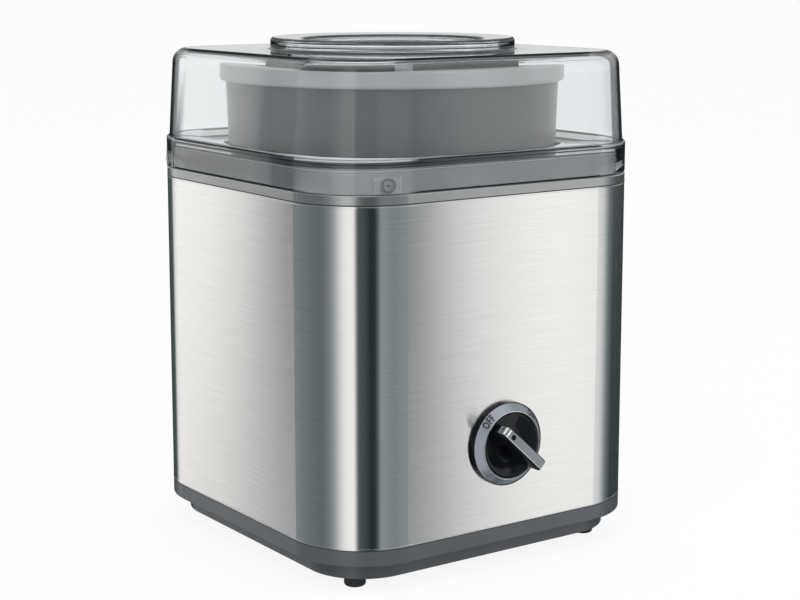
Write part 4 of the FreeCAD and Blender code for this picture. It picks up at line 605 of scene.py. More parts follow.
def square_ring(inset, height):
    """Points round the housing's outline at a height, moved inwards by the inset."""
    half_x, half_y = BODY_HALF_X - inset, BODY_HALF_Y - inset
    radius = BODY_CORNER - inset
    corners = [(half_x - radius, half_y - radius), (radius - half_x, half_y - radius),
               (radius - half_x, radius - half_y), (half_x - radius, radius - half_y)]
    points = []
    for quarter, (x, y) in enumerate(corners):
        for step in range(CORNER_STEPS):
            angle = math.radians(90 * (quarter + step / (CORNER_STEPS - 1)))
            points.append((x + radius * math.cos(angle), y + radius * math.sin(angle)))
        start = Vector(points[-1])
        following = Vector(corners[(quarter + 1) % 4])
        end = following + radius * Vector((math.cos(angle), math.sin(angle)))
        points += [start.lerp(end, (step + 1) / (SIDE_STEPS + 1)) for step in range(SIDE_STEPS)]
    half_side = SIDE_STEPS // 2
    return [(x, y, height) for x, y in points[-half_side:] + points[:-half_side]]


def arc(centre, radius, first, last, steps):
    """(across, height) points of an arc in a section, angles in degrees."""
    angles = [math.radians(first + (last - first) * step / steps) for step in range(steps + 1)]
    return [(centre[0] + radius * math.cos(angle), centre[1] + radius * math.sin(angle))
            for angle in angles]


print("points in a ring:", RING_POINTS)

# %% Join rings into a closed wall


def wall_of_rings(name, rings, finish):
    """A closed wall through the rings; the last ring joins the first."""
    count = len(rings[0])
    faces = []
    for row in range(len(rings)):
        above = (row + 1) % len(rings)
        for step in range(count):
            beside = (step + 1) % count
            faces.append((row * count + step, row * count + beside,
                          above * count + beside, above * count + step))
    mesh = bpy.data.meshes.new(name)
    mesh.from_pydata([point for ring in rings for point in ring], [], faces)
    mesh.shade_smooth()
    mesh.materials.append(finish)
    return add_object(name, mesh)


# %% [markdown]
# ### The clear lid
# From its lower edge the lid's section climbs the skirt, steps in by the
# wall's thickness, leans inwards up the side and rounds over to the top. Each
# row of it is an inset and a height, with the two numbers of painted shade:
# how much black is painted there along an edge or over a flat, and whether it
# is an upright side.

# %% Draw the lid's outer section
LID_WALL = 2.4 * MM
LID_STEP = 1.6 * MM
LID_DRAFT = math.tan(math.radians(3.5))
LID_ROUND = 8.0 * MM
SKIRT_TOP = lid_low.z + 17.1 * MM
LID_TOP = 275.5 * MM
# Shares of painted shade: black mixed into the skirt, its upper strip and the top plate.
SKIRT_SIDE = 0.4
SKIRT_PAINTED_SHADE = 0.24
UPPER_PAINTED_SHADE = 0.40
TOP_PAINTED_SHADE = 0.04


def side_inset(height, offset=0.0):
    """Inset of the leaning side at a height, with an offset for the inside."""
    return LID_STEP + offset + (height - SKIRT_TOP) * LID_DRAFT


def outer_section():
    """The lid's outside from the lower edge to the top plate."""
    small = 0.5 * MM
    low = lid_low.z
    step_round = 0.8 * MM
    rows = [(small, low, 1.0), (small * 0.3, low + small * 0.3, 1.0), (0.0, low + 0.8 * MM, 1.0),
            (0.0, low + 1.0 * MM, SKIRT_PAINTED_SHADE), (0.0, PLATE_LEVEL, SKIRT_PAINTED_SHADE),
            (0.0, PLATE_LEVEL + 0.3 * MM, UPPER_PAINTED_SHADE), (0.0, SKIRT_TOP - 0.9 * MM, UPPER_PAINTED_SHADE)]
    rounding = arc((step_round, SKIRT_TOP - step_round), step_round, 180, 90, 5)
    rows += [(*spot, edge) for spot, edge in zip(rounding, (0.8, 1.0, 1.0, 1.0, 0.6, 0.3))]
    rows = [(*row, SKIRT_SIDE) for row in rows]
    hollow = (LID_STEP - small, SKIRT_TOP + small)
    rows += [(*spot, 0.5, 1.0) for spot in arc(hollow, small, -90, 0, 3)]
    middle = LID_TOP - LID_ROUND
    for height in (SKIRT_TOP + 0.6 * MM, SKIRT_TOP + 3 * MM, middle - 2 * MM):
        rows.append((side_inset(height), height, 0.0, 1.0))
    lean = math.atan(LID_DRAFT)
    centre = side_inset(middle + LID_ROUND * math.sin(lean)) + LID_ROUND * math.cos(lean)
    for across, height in arc((centre, middle), LID_ROUND, 180 - math.degrees(lean), 90, 12):
        rise = (height - middle) / LID_ROUND
        rows.append((across, height, 1.0 if 0.86 < rise < 0.995 else 0.0, 1.0 - rise ** 3))
    return rows + [(centre + flat * MM, LID_TOP, TOP_PAINTED_SHADE, 0.0) for flat in (1, 6)]


outer_rows = outer_section()
print("rows on the lid's outside:", len(outer_rows))

# %% [markdown]
# The raised ring's section is a set of circles, each with a radius and a
# height. It stands on a small fillet, goes up an upright side and rounds over
# into a top that dips towards the mouth.

# %% Draw the ring's outside
RING_OUTER = 68.4 * MM
RING_INNER = 48.7 * MM
RING_TOP = lid_high.z
RING_DIP = 0.9 * MM
RING_SIDE = 0.8
FILLET, RING_ROUND, MOUTH_ROUND = 1.0 * MM, 2.2 * MM, 1.2 * MM


# Each circle also carries the two numbers of painted shade, as the lid's rows do: dark lines
# painted along the ring's side, shoulder and mouth.
def ring_outside():
    """Circles from the top plate over the ring to the mouth."""
    rows = [(RING_OUTER + flat * MM, LID_TOP, TOP_PAINTED_SHADE, 0.0) for flat in (6, 2)]
    foot = (RING_OUTER + FILLET, LID_TOP + FILLET)
    rows += [(*spot, 0.5, 0.0) for spot in arc(foot, FILLET, -90, -180, 4)]
    for height, edge in ((1.5, 0.0), (2.1, 0.0), (2.3, 0.8), (2.8, 0.8), (3.0, 0.0)):
        rows.append((RING_OUTER, LID_TOP + height * MM, edge, RING_SIDE))
    shoulder = (RING_OUTER - RING_ROUND, RING_TOP - RING_ROUND)
    for across, height in arc(shoulder, RING_ROUND, 0, 90, 10):
        rise = (height - RING_TOP + RING_ROUND) / RING_ROUND
        edge = 0.9 if 0.55 < rise < 0.96 else 0.0
        rows.append((across, height, edge, RING_SIDE * (1 - rise ** 3)))
    inner_top = RING_TOP - RING_DIP
    rows.append((RING_OUTER - 5 * MM, RING_TOP - 0.15 * MM, 0.0, 0.0))
    rows.append((RING_INNER + 4 * MM, inner_top + 0.25 * MM, 0.0, 0.0))
    brim = (RING_INNER + MOUTH_ROUND, inner_top - MOUTH_ROUND)
    rows += [(*spot, 0.8, 0.0) for spot in arc(brim, MOUTH_ROUND, 90, 180, 6)]
    return rows + [(RING_INNER, inner_top - 1.5 * MM, 0.05, 0.0)]


# %% [markdown]
# At the mouth the wall hangs down as a lip, which stiffens the edge. The ring
# is hollow, and its inside comes back to the ceiling, the underside of the top
# plate.

# %% Draw the ring's inside
CEILING = LID_TOP - LID_WALL


def ring_inside():
    """Circles of the hanging lip and of the ring's hollow, up to the ceiling."""
    lip_low = RING_TOP - 5.5 * MM
    lip_back = RING_INNER + LID_WALL
    under = RING_TOP - LID_WALL
    hollow = RING_OUTER - LID_WALL
    lip = [(RING_INNER, lip_low + 0.6 * MM, 0.05), (RING_INNER, lip_low + 0.3 * MM, 0.3),
           (RING_INNER + 0.3 * MM, lip_low, 0.5), (lip_back - 0.3 * MM, lip_low, 0.5),
           (lip_back, lip_low + 0.3 * MM, 0.2)]
    back = [(lip_back, under - 0.8 * MM, 0.0), (lip_back + 0.8 * MM, under - 0.5 * MM, 0.0),
            (hollow - 0.8 * MM, under, 0.0), (hollow, under - 0.8 * MM, 0.0),
            (hollow, CEILING + 0.5 * MM, 0.0), (hollow + 0.5 * MM, CEILING, 0.0)]
    return [(*row, 0.0) for row in lip + back]


ring_rows = ring_outside() + ring_inside()
print("rows on the lid's ring:", len(ring_rows))

# %% [markdown]
# Under the top plate a short collar with three notches holds the paddle's
# ring. At each side of a notch two points of every circle are moved close
# together, so that the notch has upright sides.

# %% Place the collar's notches
COLLAR_OUTER = 70.0 * MM
COLLAR_DROP = 8.0 * MM
NOTCHES = (0, 120, 240)
NOTCH_HALF = 4.5 * MM
NOTCH_CEILING = CEILING - 0.3 * MM
NOTCH_STEP = 0.0004

full_turn = 2 * math.pi
notch_angle = math.asin(NOTCH_HALF / COLLAR_OUTER)
ring_angles = [full_turn * (step + 0.5) / RING_POINTS for step in range(RING_POINTS)]
for notch in NOTCHES:
    for side in (-1, 1):
        edge_angle = (math.radians(notch) + side * notch_angle) % full_turn
        step = int(edge_angle / full_turn * RING_POINTS - 0.5) % RING_POINTS
        ring_angles[step] = edge_angle - NOTCH_STEP
        ring_angles[(step + 1) % RING_POINTS] = edge_angle + NOTCH_STEP


def in_notch(angle):
    """Whether the collar is cut away at this angle."""
    away = [(angle - math.radians(notch) + math.pi) % full_turn - math.pi for notch in NOTCHES]
    return min(abs(turned) for turned in away) < notch_angle


def round_ring(radius, height, notched=False):
    """One circle of the lid's wall, up at the ceiling where it is notched."""
    return [(radius * math.cos(angle), radius * math.sin(angle),
             NOTCH_CEILING if notched and in_notch(angle) else height) for angle in ring_angles]


print("notches:", len(NOTCHES), "each", round(2 * NOTCH_HALF / MM, 1), "mm wide")

# %% [markdown]
# The collar's two walls hang from the ceiling, and the ceiling rounds down
# into the side, which comes back to the lower edge on the inside. All rows
# together become the rings of one closed wall.

# %% Build the lid
COLLAR_ROUND = 0.3 * MM
inner_round = LID_ROUND - LID_WALL
inside_step = SKIRT_TOP - LID_WALL

collar_low = CEILING - COLLAR_DROP
collar_inner = COLLAR_OUTER - LID_WALL
collar_rows = [
    (collar_inner, CEILING, False), (collar_inner, collar_low + COLLAR_ROUND, True),
    (collar_inner + COLLAR_ROUND, collar_low, True),
    (COLLAR_OUTER - COLLAR_ROUND, collar_low, True),
    (COLLAR_OUTER, collar_low + COLLAR_ROUND, True), (COLLAR_OUTER, CEILING, False)]
middle = CEILING - inner_round
centre = side_inset(middle, LID_WALL) + inner_round
inner_rows = [
    (centre + 5 * MM, CEILING), *arc((centre, middle), inner_round, 90, 180, 10),
    (side_inset(inside_step + 1 * MM, LID_WALL), inside_step + 1 * MM),
    (side_inset(inside_step, LID_WALL), inside_step),
    (LID_WALL + 0.4 * MM, inside_step), (LID_WALL, inside_step - 0.4 * MM),
    (LID_WALL, lid_low.z + 0.3 * MM), (LID_WALL - 0.3 * MM, lid_low.z)]
rings = [square_ring(*row[:2]) for row in outer_rows] + [round_ring(*row[:2]) for row in ring_rows]
rings += [round_ring(*row) for row in collar_rows] + [round_ring(COLLAR_OUTER + 5 * MM, CEILING)]
rings += [square_ring(*row) for row in inner_rows]
lid = wall_of_rings("clear_lid_shell", rings, clear_plastic)
print("lid faces:", len(lid.data.polygons))

# %% [markdown]
# Now every point gets its two numbers of painted shade. The collar under
# the ceiling is painted nearly black, as painted shade. The painted dark
# edges fade at the round corners, where the real edges catch light instead.
# The flat sides of the lid stay clear as well, so the number for upright
# sides counts only at its corners and on the ring.

# %% Mark the painted shade on the lid's edges
COLLAR_PAINTED_SHADE = 0.95
SKIRT_CORNER_CLEAR, TOP_CORNER_CLEAR = 0.88, 0.3

marks = [row[2:] for row in outer_rows + ring_rows] + [(COLLAR_PAINTED_SHADE, 0.0)] * len(collar_rows)
marks += [(0.0, 0.0)] * (len(rings) - len(marks))
on_ring = range(len(outer_rows), len(outer_rows) + len(ring_rows))
edges = lid.data.attributes.new("edges", "FLOAT_COLOR", "POINT")
for row, (ring, (edge, side)) in enumerate(zip(rings, marks)):
    for step, (x, y, height) in enumerate(ring):
        at_corner = abs(x) > BODY_HALF_X - BODY_CORNER and abs(y) > BODY_HALF_Y - BODY_CORNER
        on_skirt = height < SKIRT_TOP + 0.55 * MM and edge > 0.5
        kept = 1 - (SKIRT_CORNER_CLEAR if on_skirt else TOP_CORNER_CLEAR) * at_corner
        upright = side if row in on_ring else side * at_corner
        edges.data[row * RING_POINTS + step].color = (edge * kept, upright, 0.0, 1.0)
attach(lid, "lid")
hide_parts("clear_lid")
print("marked points:", len(edges.data))

# %% [markdown]
# ### The lip of the deck
# The deck's collar ends in a thin upright lip that keeps spilt water out of
# the gap behind it. It stands just inside the lid's skirt.

# %% Raise the lip
LIP_INSET = 2.75 * MM
LIP_INNER = LIP_INSET + 1.3 * MM
lip_low, lip_high = deck_high.z - 3.5 * MM, deck_high.z

lip = wall_of_rings("deck_lip", [square_ring(inset, height) for inset, height in (
    (LIP_INSET, lip_low), (LIP_INSET, lip_high - 0.4 * MM),
    (LIP_INSET + 0.12 * MM, lip_high - 0.12 * MM), (LIP_INSET + 0.4 * MM, lip_high),
    (LIP_INNER - 0.2 * MM, lip_high), (LIP_INNER, lip_high - 0.2 * MM), (LIP_INNER, lip_low))],
    FINISHES["trim_plastic"])
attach(lip, "base")
print("lip height", round((lip_high - PLATE_LEVEL) / MM, 1), "mm above the plate")

# %% [markdown]
# ## Shapes grown from rules
# What follows a path or repeats is described once by a tree of geometry nodes
# with named inputs: its sizes, its place and its finish. A tree is evaluated
# for each set of values, and the result is kept as a plain mesh.

# %% Begin and end a shape tree


def new_shape_tree(name, inputs):
    """An empty shape tree with named inputs; gives the tree and their sockets."""
    tree = bpy.data.node_groups.new(name, "GeometryNodeTree")
    tree.is_modifier = True
    tree.interface.new_socket("Shape", in_out="OUTPUT", socket_type="NodeSocketGeometry")
    tree.interface.new_socket("Points", in_out="INPUT", socket_type="NodeSocketGeometry")
    for label, kind in inputs.items():
        tree.interface.new_socket(label, in_out="INPUT", socket_type="NodeSocket" + kind)
    return tree, tree.nodes.new("NodeGroupInput").outputs


def close_shape_tree(tree, shape, finish):
    """End a tree: the instances become real and get their finish."""
    real = made(tree, "GeometryNodeRealizeInstances", {0: shape})
    dressed = made(tree, "GeometryNodeSetMaterial", {"Geometry": real, "Material": finish})
    add_node(tree, "NodeGroupOutput", {0: dressed})
    print("nodes in the tree", tree.name + ":", len(tree.nodes))


def grow(name, tree, values, points=()):
    """Evaluate a shape tree and keep the result as a plain mesh object."""
    seed_mesh = bpy.data.meshes.new(name)
    seed_mesh.from_pydata([tuple(point) for point in points], [], [])
    piece = add_object(name, seed_mesh)
    modifier = piece.modifiers.new("shape", "NODES")
    modifier.node_group = tree
    for item in tree.interface.items_tree:
        if item.in_out == "INPUT" and item.name in values:
            modifier[item.identifier] = values[item.name]
    bpy.context.view_layer.update()
    grown = piece.evaluated_get(bpy.context.evaluated_depsgraph_get())
    mesh = bpy.data.meshes.new_from_object(grown)
    mesh.name = name
    piece.modifiers.clear()
    piece.data = mesh
    bpy.data.meshes.remove(seed_mesh)
    return piece


# %% Shapes inside a tree


def swept(tree, path, profile, closed_ends=False):
    """A profile swept along a path."""
    return made(tree, "GeometryNodeCurveToMesh", {
        "Curve": path, "Profile Curve": profile, "Fill Caps": closed_ends})


def placed(tree, shape, **how):
    """A shape with a Translation, a Rotation or a Scale."""
    return made(tree, "GeometryNodeTransform", {"Geometry": shape, **how})


def joined(tree, shapes):
    """Several shapes as one."""
    join = add_node(tree, "GeometryNodeJoinGeometry")
    for shape in shapes:
        tree.links.new(shape, join.inputs[0])
    return join.outputs[0]


def set_on_points(tree, points, shape, turned):
    """The shape set on every vertex of the points."""
    places = made(tree, "GeometryNodeMeshToPoints", {"Mesh": points})
    return made(tree, "GeometryNodeInstanceOnPoints", {
        "Points": places, "Instance": shape, "Rotation": turned})


# %% [markdown]
# ### Seams and hems of the housing
# Between trim, steel and base run thin black beads, painted shade for the
# shadow in the gap of each seam. The steel's edges are rolled into a narrow
# hem, so that nobody cuts a finger.
# Both follow the housing's outline: a square with round corners at some
# height, with a small round profile swept along it.

# %% Write the tree for a swept bead
bead_tree, given = new_shape_tree("swept_bead", {
    "Width": "Float", "Depth": "Float", "Corner": "Float", "Level": "Float",
    "Bead": "Float", "Finish": "Material"})
tree = bead_tree
square_path = made(tree, "GeometryNodeCurvePrimitiveQuadrilateral", {
    "Width": given["Width"], "Height": given["Depth"]})
round_path = made(tree, "GeometryNodeFilletCurve", {
    "Curve": square_path, "Radius": given["Corner"], "Count": 32}, mode="POLY")
raised_path = placed(tree, round_path, Translation=vector(tree, z=given["Level"]))
profile = made(tree, "GeometryNodeCurvePrimitiveCircle", {
    "Resolution": 12, "Radius": given["Bead"]})
close_shape_tree(tree, swept(tree, raised_path, profile), given["Finish"])

# %% Sweep the beads
BASE_SEAM = sleeve_low.z
plinth_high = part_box("bottom_cover")[1]
PLINTH_INSET = BODY_HALF_X - plinth_high.x
SEAM_SHADE_BEAD, HEM = 0.48 * MM, 0.42 * MM
HEM_INSET = HEM - 0.08 * MM

# The three black beads are painted shade along the seams; the two steel hems are the sheet's rolled
# edges.
for name, level, inset, bead, slot in (
        ("trim_seam_shade", sleeve_high.z, SEAM_SHADE_BEAD - 0.12 * MM, SEAM_SHADE_BEAD, "rubber"),
        ("sleeve_hem_upper", sleeve_high.z - SEAM_SHADE_BEAD - HEM * 0.8, HEM_INSET, HEM, "steel"),
        ("sleeve_hem_lower", BASE_SEAM + SEAM_SHADE_BEAD + HEM * 0.8, HEM_INSET, HEM, "steel"),
        ("base_seam_shade", BASE_SEAM, SEAM_SHADE_BEAD - 0.08 * MM, SEAM_SHADE_BEAD, "rubber"),
        ("plinth_seam_shade", plinth_high.z, PLINTH_INSET + SEAM_SHADE_BEAD - 0.25 * MM, SEAM_SHADE_BEAD, "rubber")):
    piece = grow(name, bead_tree, {
        "Width": 2 * (BODY_HALF_X - inset), "Depth": 2 * (BODY_HALF_Y - inset),
        "Corner": BODY_CORNER - inset, "Level": level, "Bead": bead, "Finish": FINISHES[slot]})
    piece.data.shade_smooth()
    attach(piece, "base")
    print(name, len(piece.data.polygons), "faces")

# %% [markdown]
# ### Latch seats of the lid
# The skirt carries four low seats, one past each corner, each with a round
# snap boss that grips the trim under it. A seat is a plate bent round the
# corner: a flat face swept along an arc, and turned back by half its angle.

# %% Write the tree for the latch seats
latch_tree, given = new_shape_tree("latch_seats", {
    "Corner": "Float", "Seat Angle": "Float", "Seat Height": "Float", "Rise": "Float",
    "Boss": "Float", "Lead": "Float", "Finish": "Material"})
tree = latch_tree
seat_path = made(tree, "GeometryNodeCurveArc", {
    "Resolution": 20, "Radius": given["Corner"], "Sweep Angle": given["Seat Angle"]})
seat_face = made(tree, "GeometryNodeCurvePrimitiveQuadrilateral", {
    "Width": given["Rise"], "Height": given["Seat Height"]})
half_back = maths(tree, "MULTIPLY", given["Seat Angle"], -0.5)
seat = placed(tree, swept(tree, seat_path, seat_face, closed_ends=True),
              Rotation=vector(tree, z=half_back))
print("nodes for the seat:", len(tree.nodes))

# %% [markdown]
# The boss is a round bead with a small flat dome in its middle. It carries
# a little painted shade in the attribute "edges", as the lid's edges do, and
# is stood upright on the seat. Then the latch is set round every corner's
# centre.

# %% Add the boss and set the latches
BEAD_SHARE, DOME_SHARE, DOME_FLAT = 0.17, 0.22, 0.35
BOSS_PAINTED_SHADE = (0.28, 0.0, 0.0, 1.0)
UPRIGHT = (0.0, math.radians(90), 0.0)

bead_radius = maths(tree, "MULTIPLY", given["Boss"], BEAD_SHARE)
boss_path = made(tree, "GeometryNodeCurvePrimitiveCircle", {
    "Resolution": 40, "Radius": maths(tree, "SUBTRACT", given["Boss"], bead_radius)})
boss_face = made(tree, "GeometryNodeCurvePrimitiveCircle", {
    "Resolution": 12, "Radius": bead_radius})
dome = made(tree, "GeometryNodeMeshUVSphere", {
    "Segments": 24, "Rings": 12, "Radius": maths(tree, "MULTIPLY", given["Boss"], DOME_SHARE)})
boss = joined(tree, (swept(tree, boss_path, boss_face),
                     placed(tree, dome, Scale=(1.0, 1.0, DOME_FLAT))))
marked_boss = made(tree, "GeometryNodeStoreNamedAttribute", {
    "Geometry": boss, "Name": "edges", "Value": BOSS_PAINTED_SHADE}, data_type="FLOAT_COLOR", domain="POINT")
boss_way = maths(tree, "ADD", given["Corner"], maths(tree, "MULTIPLY", given["Rise"], 0.3))
latch = joined(tree, (seat, placed(
    tree, marked_boss, Translation=vector(tree, boss_way), Rotation=UPRIGHT)))
corner_axes = add_node(tree, "ShaderNodeSeparateXYZ", {
    0: made(tree, "GeometryNodeInputPosition")}).outputs
outward = maths(tree, "ARCTAN2", corner_axes["Y"], corner_axes["X"])
heading = vector(tree, z=maths(tree, "ADD", outward, given["Lead"]))
close_shape_tree(tree, set_on_points(tree, given["Points"], latch, heading), given["Finish"])

# %% Set the latch seats
SEAT_LENGTH, SEAT_HEIGHT, SEAT_RISE = 15.0 * MM, 8.8 * MM, 0.36 * MM
BOSS_RADIUS = 3.9 * MM
LATCH_LEVEL = lid_low.z + 4.6 * MM
LATCH_LEAD = math.radians(30)
SHARP_ANGLE = math.radians(35)

centre_x, centre_y = BODY_HALF_X - BODY_CORNER, BODY_HALF_Y - BODY_CORNER
corner_points = [(x, y, LATCH_LEVEL) for x in (-centre_x, centre_x) for y in (-centre_y, centre_y)]
latches = grow("latch_seats", latch_tree, {
    "Corner": BODY_CORNER, "Seat Angle": SEAT_LENGTH / BODY_CORNER, "Seat Height": SEAT_HEIGHT,
    "Rise": SEAT_RISE, "Boss": BOSS_RADIUS, "Lead": LATCH_LEAD, "Finish": clear_plastic},
    corner_points)
latches.data.set_sharp_from_angle(angle=SHARP_ANGLE)
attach(latches, "lid")
print("latch seats:", len(corner_points), "with", len(latches.data.polygons), "faces")

# %% [markdown]
# ### Screws
# Thread-forming screws with pan heads and a cross recess hold the bottom
# cover, the drum, the gear case and the switch. One tree makes the screw. Its
# head is a low cone with two crossed slots cut into it, on an upright side.

# %% Write the tree for the screws
screw_tree, given = new_shape_tree("cross_screws", {
    "Head Radius": "Float", "Head Height": "Float", "Shank Radius": "Float",
    "Shank Length": "Float", "Turn": "Vector", "Finish": "Material"})
tree = screw_tree


def share_of(label, share):
    """A share of one of the screw's sizes."""
    return maths(screw_tree, "MULTIPLY", given[label], share)


half_head = share_of("Head Height", 0.5)
crown = made(tree, "GeometryNodeMeshCone", {
    "Vertices": 32, "Radius Bottom": share_of("Head Radius", 0.72),
    "Radius Top": given["Head Radius"], "Depth": half_head})
recessed = add_node(tree, "GeometryNodeMeshBoolean", {"Mesh 1": crown},
                    operation="DIFFERENCE", solver="EXACT")
slot_length, slot_width = share_of("Head Radius", 1.05), share_of("Head Radius", 0.24)
slot_depth = share_of("Head Height", 0.8)
for across, along in ((slot_length, slot_width), (slot_width, slot_length)):
    cutter = made(tree, "GeometryNodeMeshCube", {"Size": vector(tree, across, along, slot_depth)})
    tree.links.new(cutter, recessed.inputs["Mesh 2"])
head_side = made(tree, "GeometryNodeMeshCylinder", {
    "Vertices": 32, "Radius": given["Head Radius"], "Depth": half_head})
print("nodes for the head:", len(tree.nodes))

# %% [markdown]
# The shank is a plain core, and its thread a thin ridge swept along a helix.
# The whole screw is set on every screw place of a part, turned the way the
# part's screws face.

# %% Add the shank and the thread
THREAD_PITCH = 1.3 * MM

shank = made(tree, "GeometryNodeMeshCylinder", {
    "Vertices": 20, "Radius": share_of("Shank Radius", 0.78), "Depth": given["Shank Length"]})
shank_middle = maths(tree, "ADD", share_of("Shank Length", 0.5), given["Head Height"])
ridge_radius = share_of("Shank Radius", 0.16)
helix_radius = maths(tree, "SUBTRACT", given["Shank Radius"], ridge_radius)
helix = made(tree, "GeometryNodeCurveSpiral", {
    "Resolution": 14, "Rotations": maths(tree, "DIVIDE", given["Shank Length"], THREAD_PITCH),
    "Start Radius": helix_radius, "End Radius": helix_radius, "Height": given["Shank Length"]})
ridge = made(tree, "GeometryNodeCurvePrimitiveCircle", {"Resolution": 5, "Radius": ridge_radius})
thread = swept(tree, helix, ridge, closed_ends=True)
screw = joined(tree, [recessed.outputs["Mesh"]] + [
    placed(tree, shape, Translation=vector(tree, z=height)) for shape, height in (
        (head_side, share_of("Head Height", 0.75)), (shank, shank_middle),
        (thread, given["Head Height"]))])
close_shape_tree(tree, set_on_points(tree, given["Points"], screw, given["Turn"]), given["Finish"])

# %% [markdown]
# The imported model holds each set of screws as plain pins. Their places and
# their length are read from it. The switch's screws lie along the depth of
# the machine, and all others stand head down.

# %% Set the screws
HEAD_RADIUS, HEAD_HEIGHT, SHANK_RADIUS = 3.0 * MM, 2.0 * MM, 1.5 * MM


def screw_places(low, high, lying):
    """The middle of every screw's head, from the corners of the set's box."""
    across = (low.x + HEAD_RADIUS, high.x - HEAD_RADIUS)
    if lying:
        return [(x, high.y, (low.z + high.z) / 2) for x in across]
    return [(x, y, low.z) for x in across for y in (low.y + HEAD_RADIUS, high.y - HEAD_RADIUS)]


for node in ("cover_screws", "tub_screws", "gear_case_screws", "switch_screws"):
    low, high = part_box(node)
    lying = node == "switch_screws"
    length = (high.y - low.y if lying else high.z - low.z) - HEAD_HEIGHT
    screws = grow("set_of_" + node, screw_tree, {
        "Head Radius": HEAD_RADIUS, "Head Height": HEAD_HEIGHT, "Shank Radius": SHANK_RADIUS,
        "Shank Length": length, "Turn": (math.radians(90) if lying else 0.0, 0.0, 0.0),
        "Finish": FINISHES["plated_steel"]}, screw_places(low, high, lying))
    screws.data.set_sharp_from_angle(angle=SHARP_ANGLE)
    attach(screws, "base")
    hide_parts(node)
    print(node, len(screws.data.polygons), "faces")

# %% [markdown]
# ## The dial
# The switch's dial is a bevelled ring of painted metal on the steel, with a
# black dished disc inside it. An upright fin crosses the disc as the grip: it
# rises steeply at the nose, bends, and slopes out to its tail. A bright strip
# is laid along the fin's edge from the nose to the tail. All of these are
# first drawn around a centre, with the height measured off the front face.

# %% Place shapes on the dial
TURNED_STEPS = 128


def on_dial(across, up, height):
    """A point of the dial: across and up in the front's plane, height off it."""
    return Vector((dial_centre.x + across, front - height, dial_centre.z + up))


def turned_piece(name, section, finish):
    """A closed section of (radius, height) points, turned round the dial's axis."""
    angles = [2 * math.pi * step / TURNED_STEPS for step in range(TURNED_STEPS)]
    rings = [[on_dial(radius * math.sin(angle), radius * math.cos(angle), height)
              for angle in angles] for radius, height in section]
    piece = wall_of_rings(name, rings, finish)
    shape = bmesh.new()
    shape.from_mesh(piece.data)
    bmesh.ops.recalc_face_normals(shape, faces=shape.faces)
    shape.to_mesh(piece.data)
    shape.free()
    piece.data.shade_smooth()
    return piece


def bend(before, corner, after, radius, steps):
    """Points of a short curve that takes a line round its corner."""
    back, onward = before - corner, after - corner
    reach = min(radius, back.length * 0.45, onward.length * 0.45)
    start, end = corner + back.normalized() * reach, corner + onward.normalized() * reach
    shares = [step / steps for step in range(steps + 1)]
    return [start * (1 - share) ** 2 + corner * 2 * share * (1 - share) + end * share ** 2
            for share in shares]


def rounded(points, radius):
    """A closed section with every corner bent round."""
    spots = [Vector(point) for point in points]
    following = spots[1:] + spots[:1]
    bends = [bend(spots[index - 1], corner, following[index], radius, 4)
             for index, corner in enumerate(spots)]
    return [spot for points_of_bend in bends for spot in points_of_bend]


# %% [markdown]
# The ring's section has an upright side, a small bright shoulder, the wide
# bevel that carries the words, and a raised inner edge round the disc.

# %% Turn the ring
BEZEL_RADIUS = 22.5 * MM
BEZEL_INNER = 18.0 * MM
BEZEL_HEIGHT = 6.3 * MM
BEVEL_FOOT = (BEZEL_RADIUS - 0.9 * MM, 3.1 * MM)
BEVEL_TOP = (BEZEL_INNER + 0.9 * MM, BEZEL_HEIGHT - 0.45 * MM)
WEB = 1.8 * MM
BORE = 5.5 * MM

ring_points = [
    (BORE, 0.0), (BEZEL_RADIUS, 0.0), (BEZEL_RADIUS, 2.1 * MM), BEVEL_FOOT, BEVEL_TOP,
    (BEZEL_INNER + 0.55 * MM, BEZEL_HEIGHT), (BEZEL_INNER, BEZEL_HEIGHT - 0.15 * MM),
    (BEZEL_INNER, WEB), (BORE, WEB)]
bezel = turned_piece("dial_ring", rounded(ring_points, 0.25 * MM), FINISHES["bezel_metal"])
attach(bezel, "base")
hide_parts("dial_bezel")
print("dial ring faces:", len(bezel.data.polygons))

# %% [markdown]
# Two black bands on the ring's upright side are painted shade, with a lighter
# line of the ring left between them, and a thin polished bead runs round its
# inner edge.

# %% Trim the ring
BAND_INNER, BAND_OUTER = BEZEL_RADIUS - 0.1 * MM, BEZEL_RADIUS + 0.12 * MM
BEAD = 0.26 * MM

for name, low, high in (("dial_side_shade_lower", 0.05 * MM, 1.35 * MM),
                        ("dial_side_shade_upper", 1.62 * MM, 2.62 * MM)):
    band = turned_piece(name, [(BAND_INNER, low), (BAND_OUTER, low), (BAND_OUTER, high),
                               (BAND_INNER, high)], FINISHES["knob_black"])
    band.data.set_sharp_from_angle(angle=SHARP_ANGLE)
    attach(band, "base")
bead_centre = (BEZEL_INNER + BEAD, BEZEL_HEIGHT - 0.1 * MM)
bright_bead = turned_piece("dial_bead", arc(bead_centre, BEAD, 0, 330, 11), FINISHES["grip_metal"])
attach(bright_bead, "base")
print("bands on the ring: 2, bead radius", round(BEAD / MM, 2), "mm")

# %% [markdown]
# The knob's disc is one turned piece too: a hub on the switch's spindle, a
# flat rim, and a dish that falls off softly from the rim to the middle.

# %% Turn the disc of the knob
DISC_RADIUS = BEZEL_INNER - 0.5 * MM
DISC_BACK = WEB + 0.3 * MM
DISC_RIM = 5.2 * MM
DISC_DISH = 1.3 * MM
HUB_RADIUS = 5.0 * MM
HUB_END = -2.0 * MM
SPINDLE_BORE = 3.05 * MM

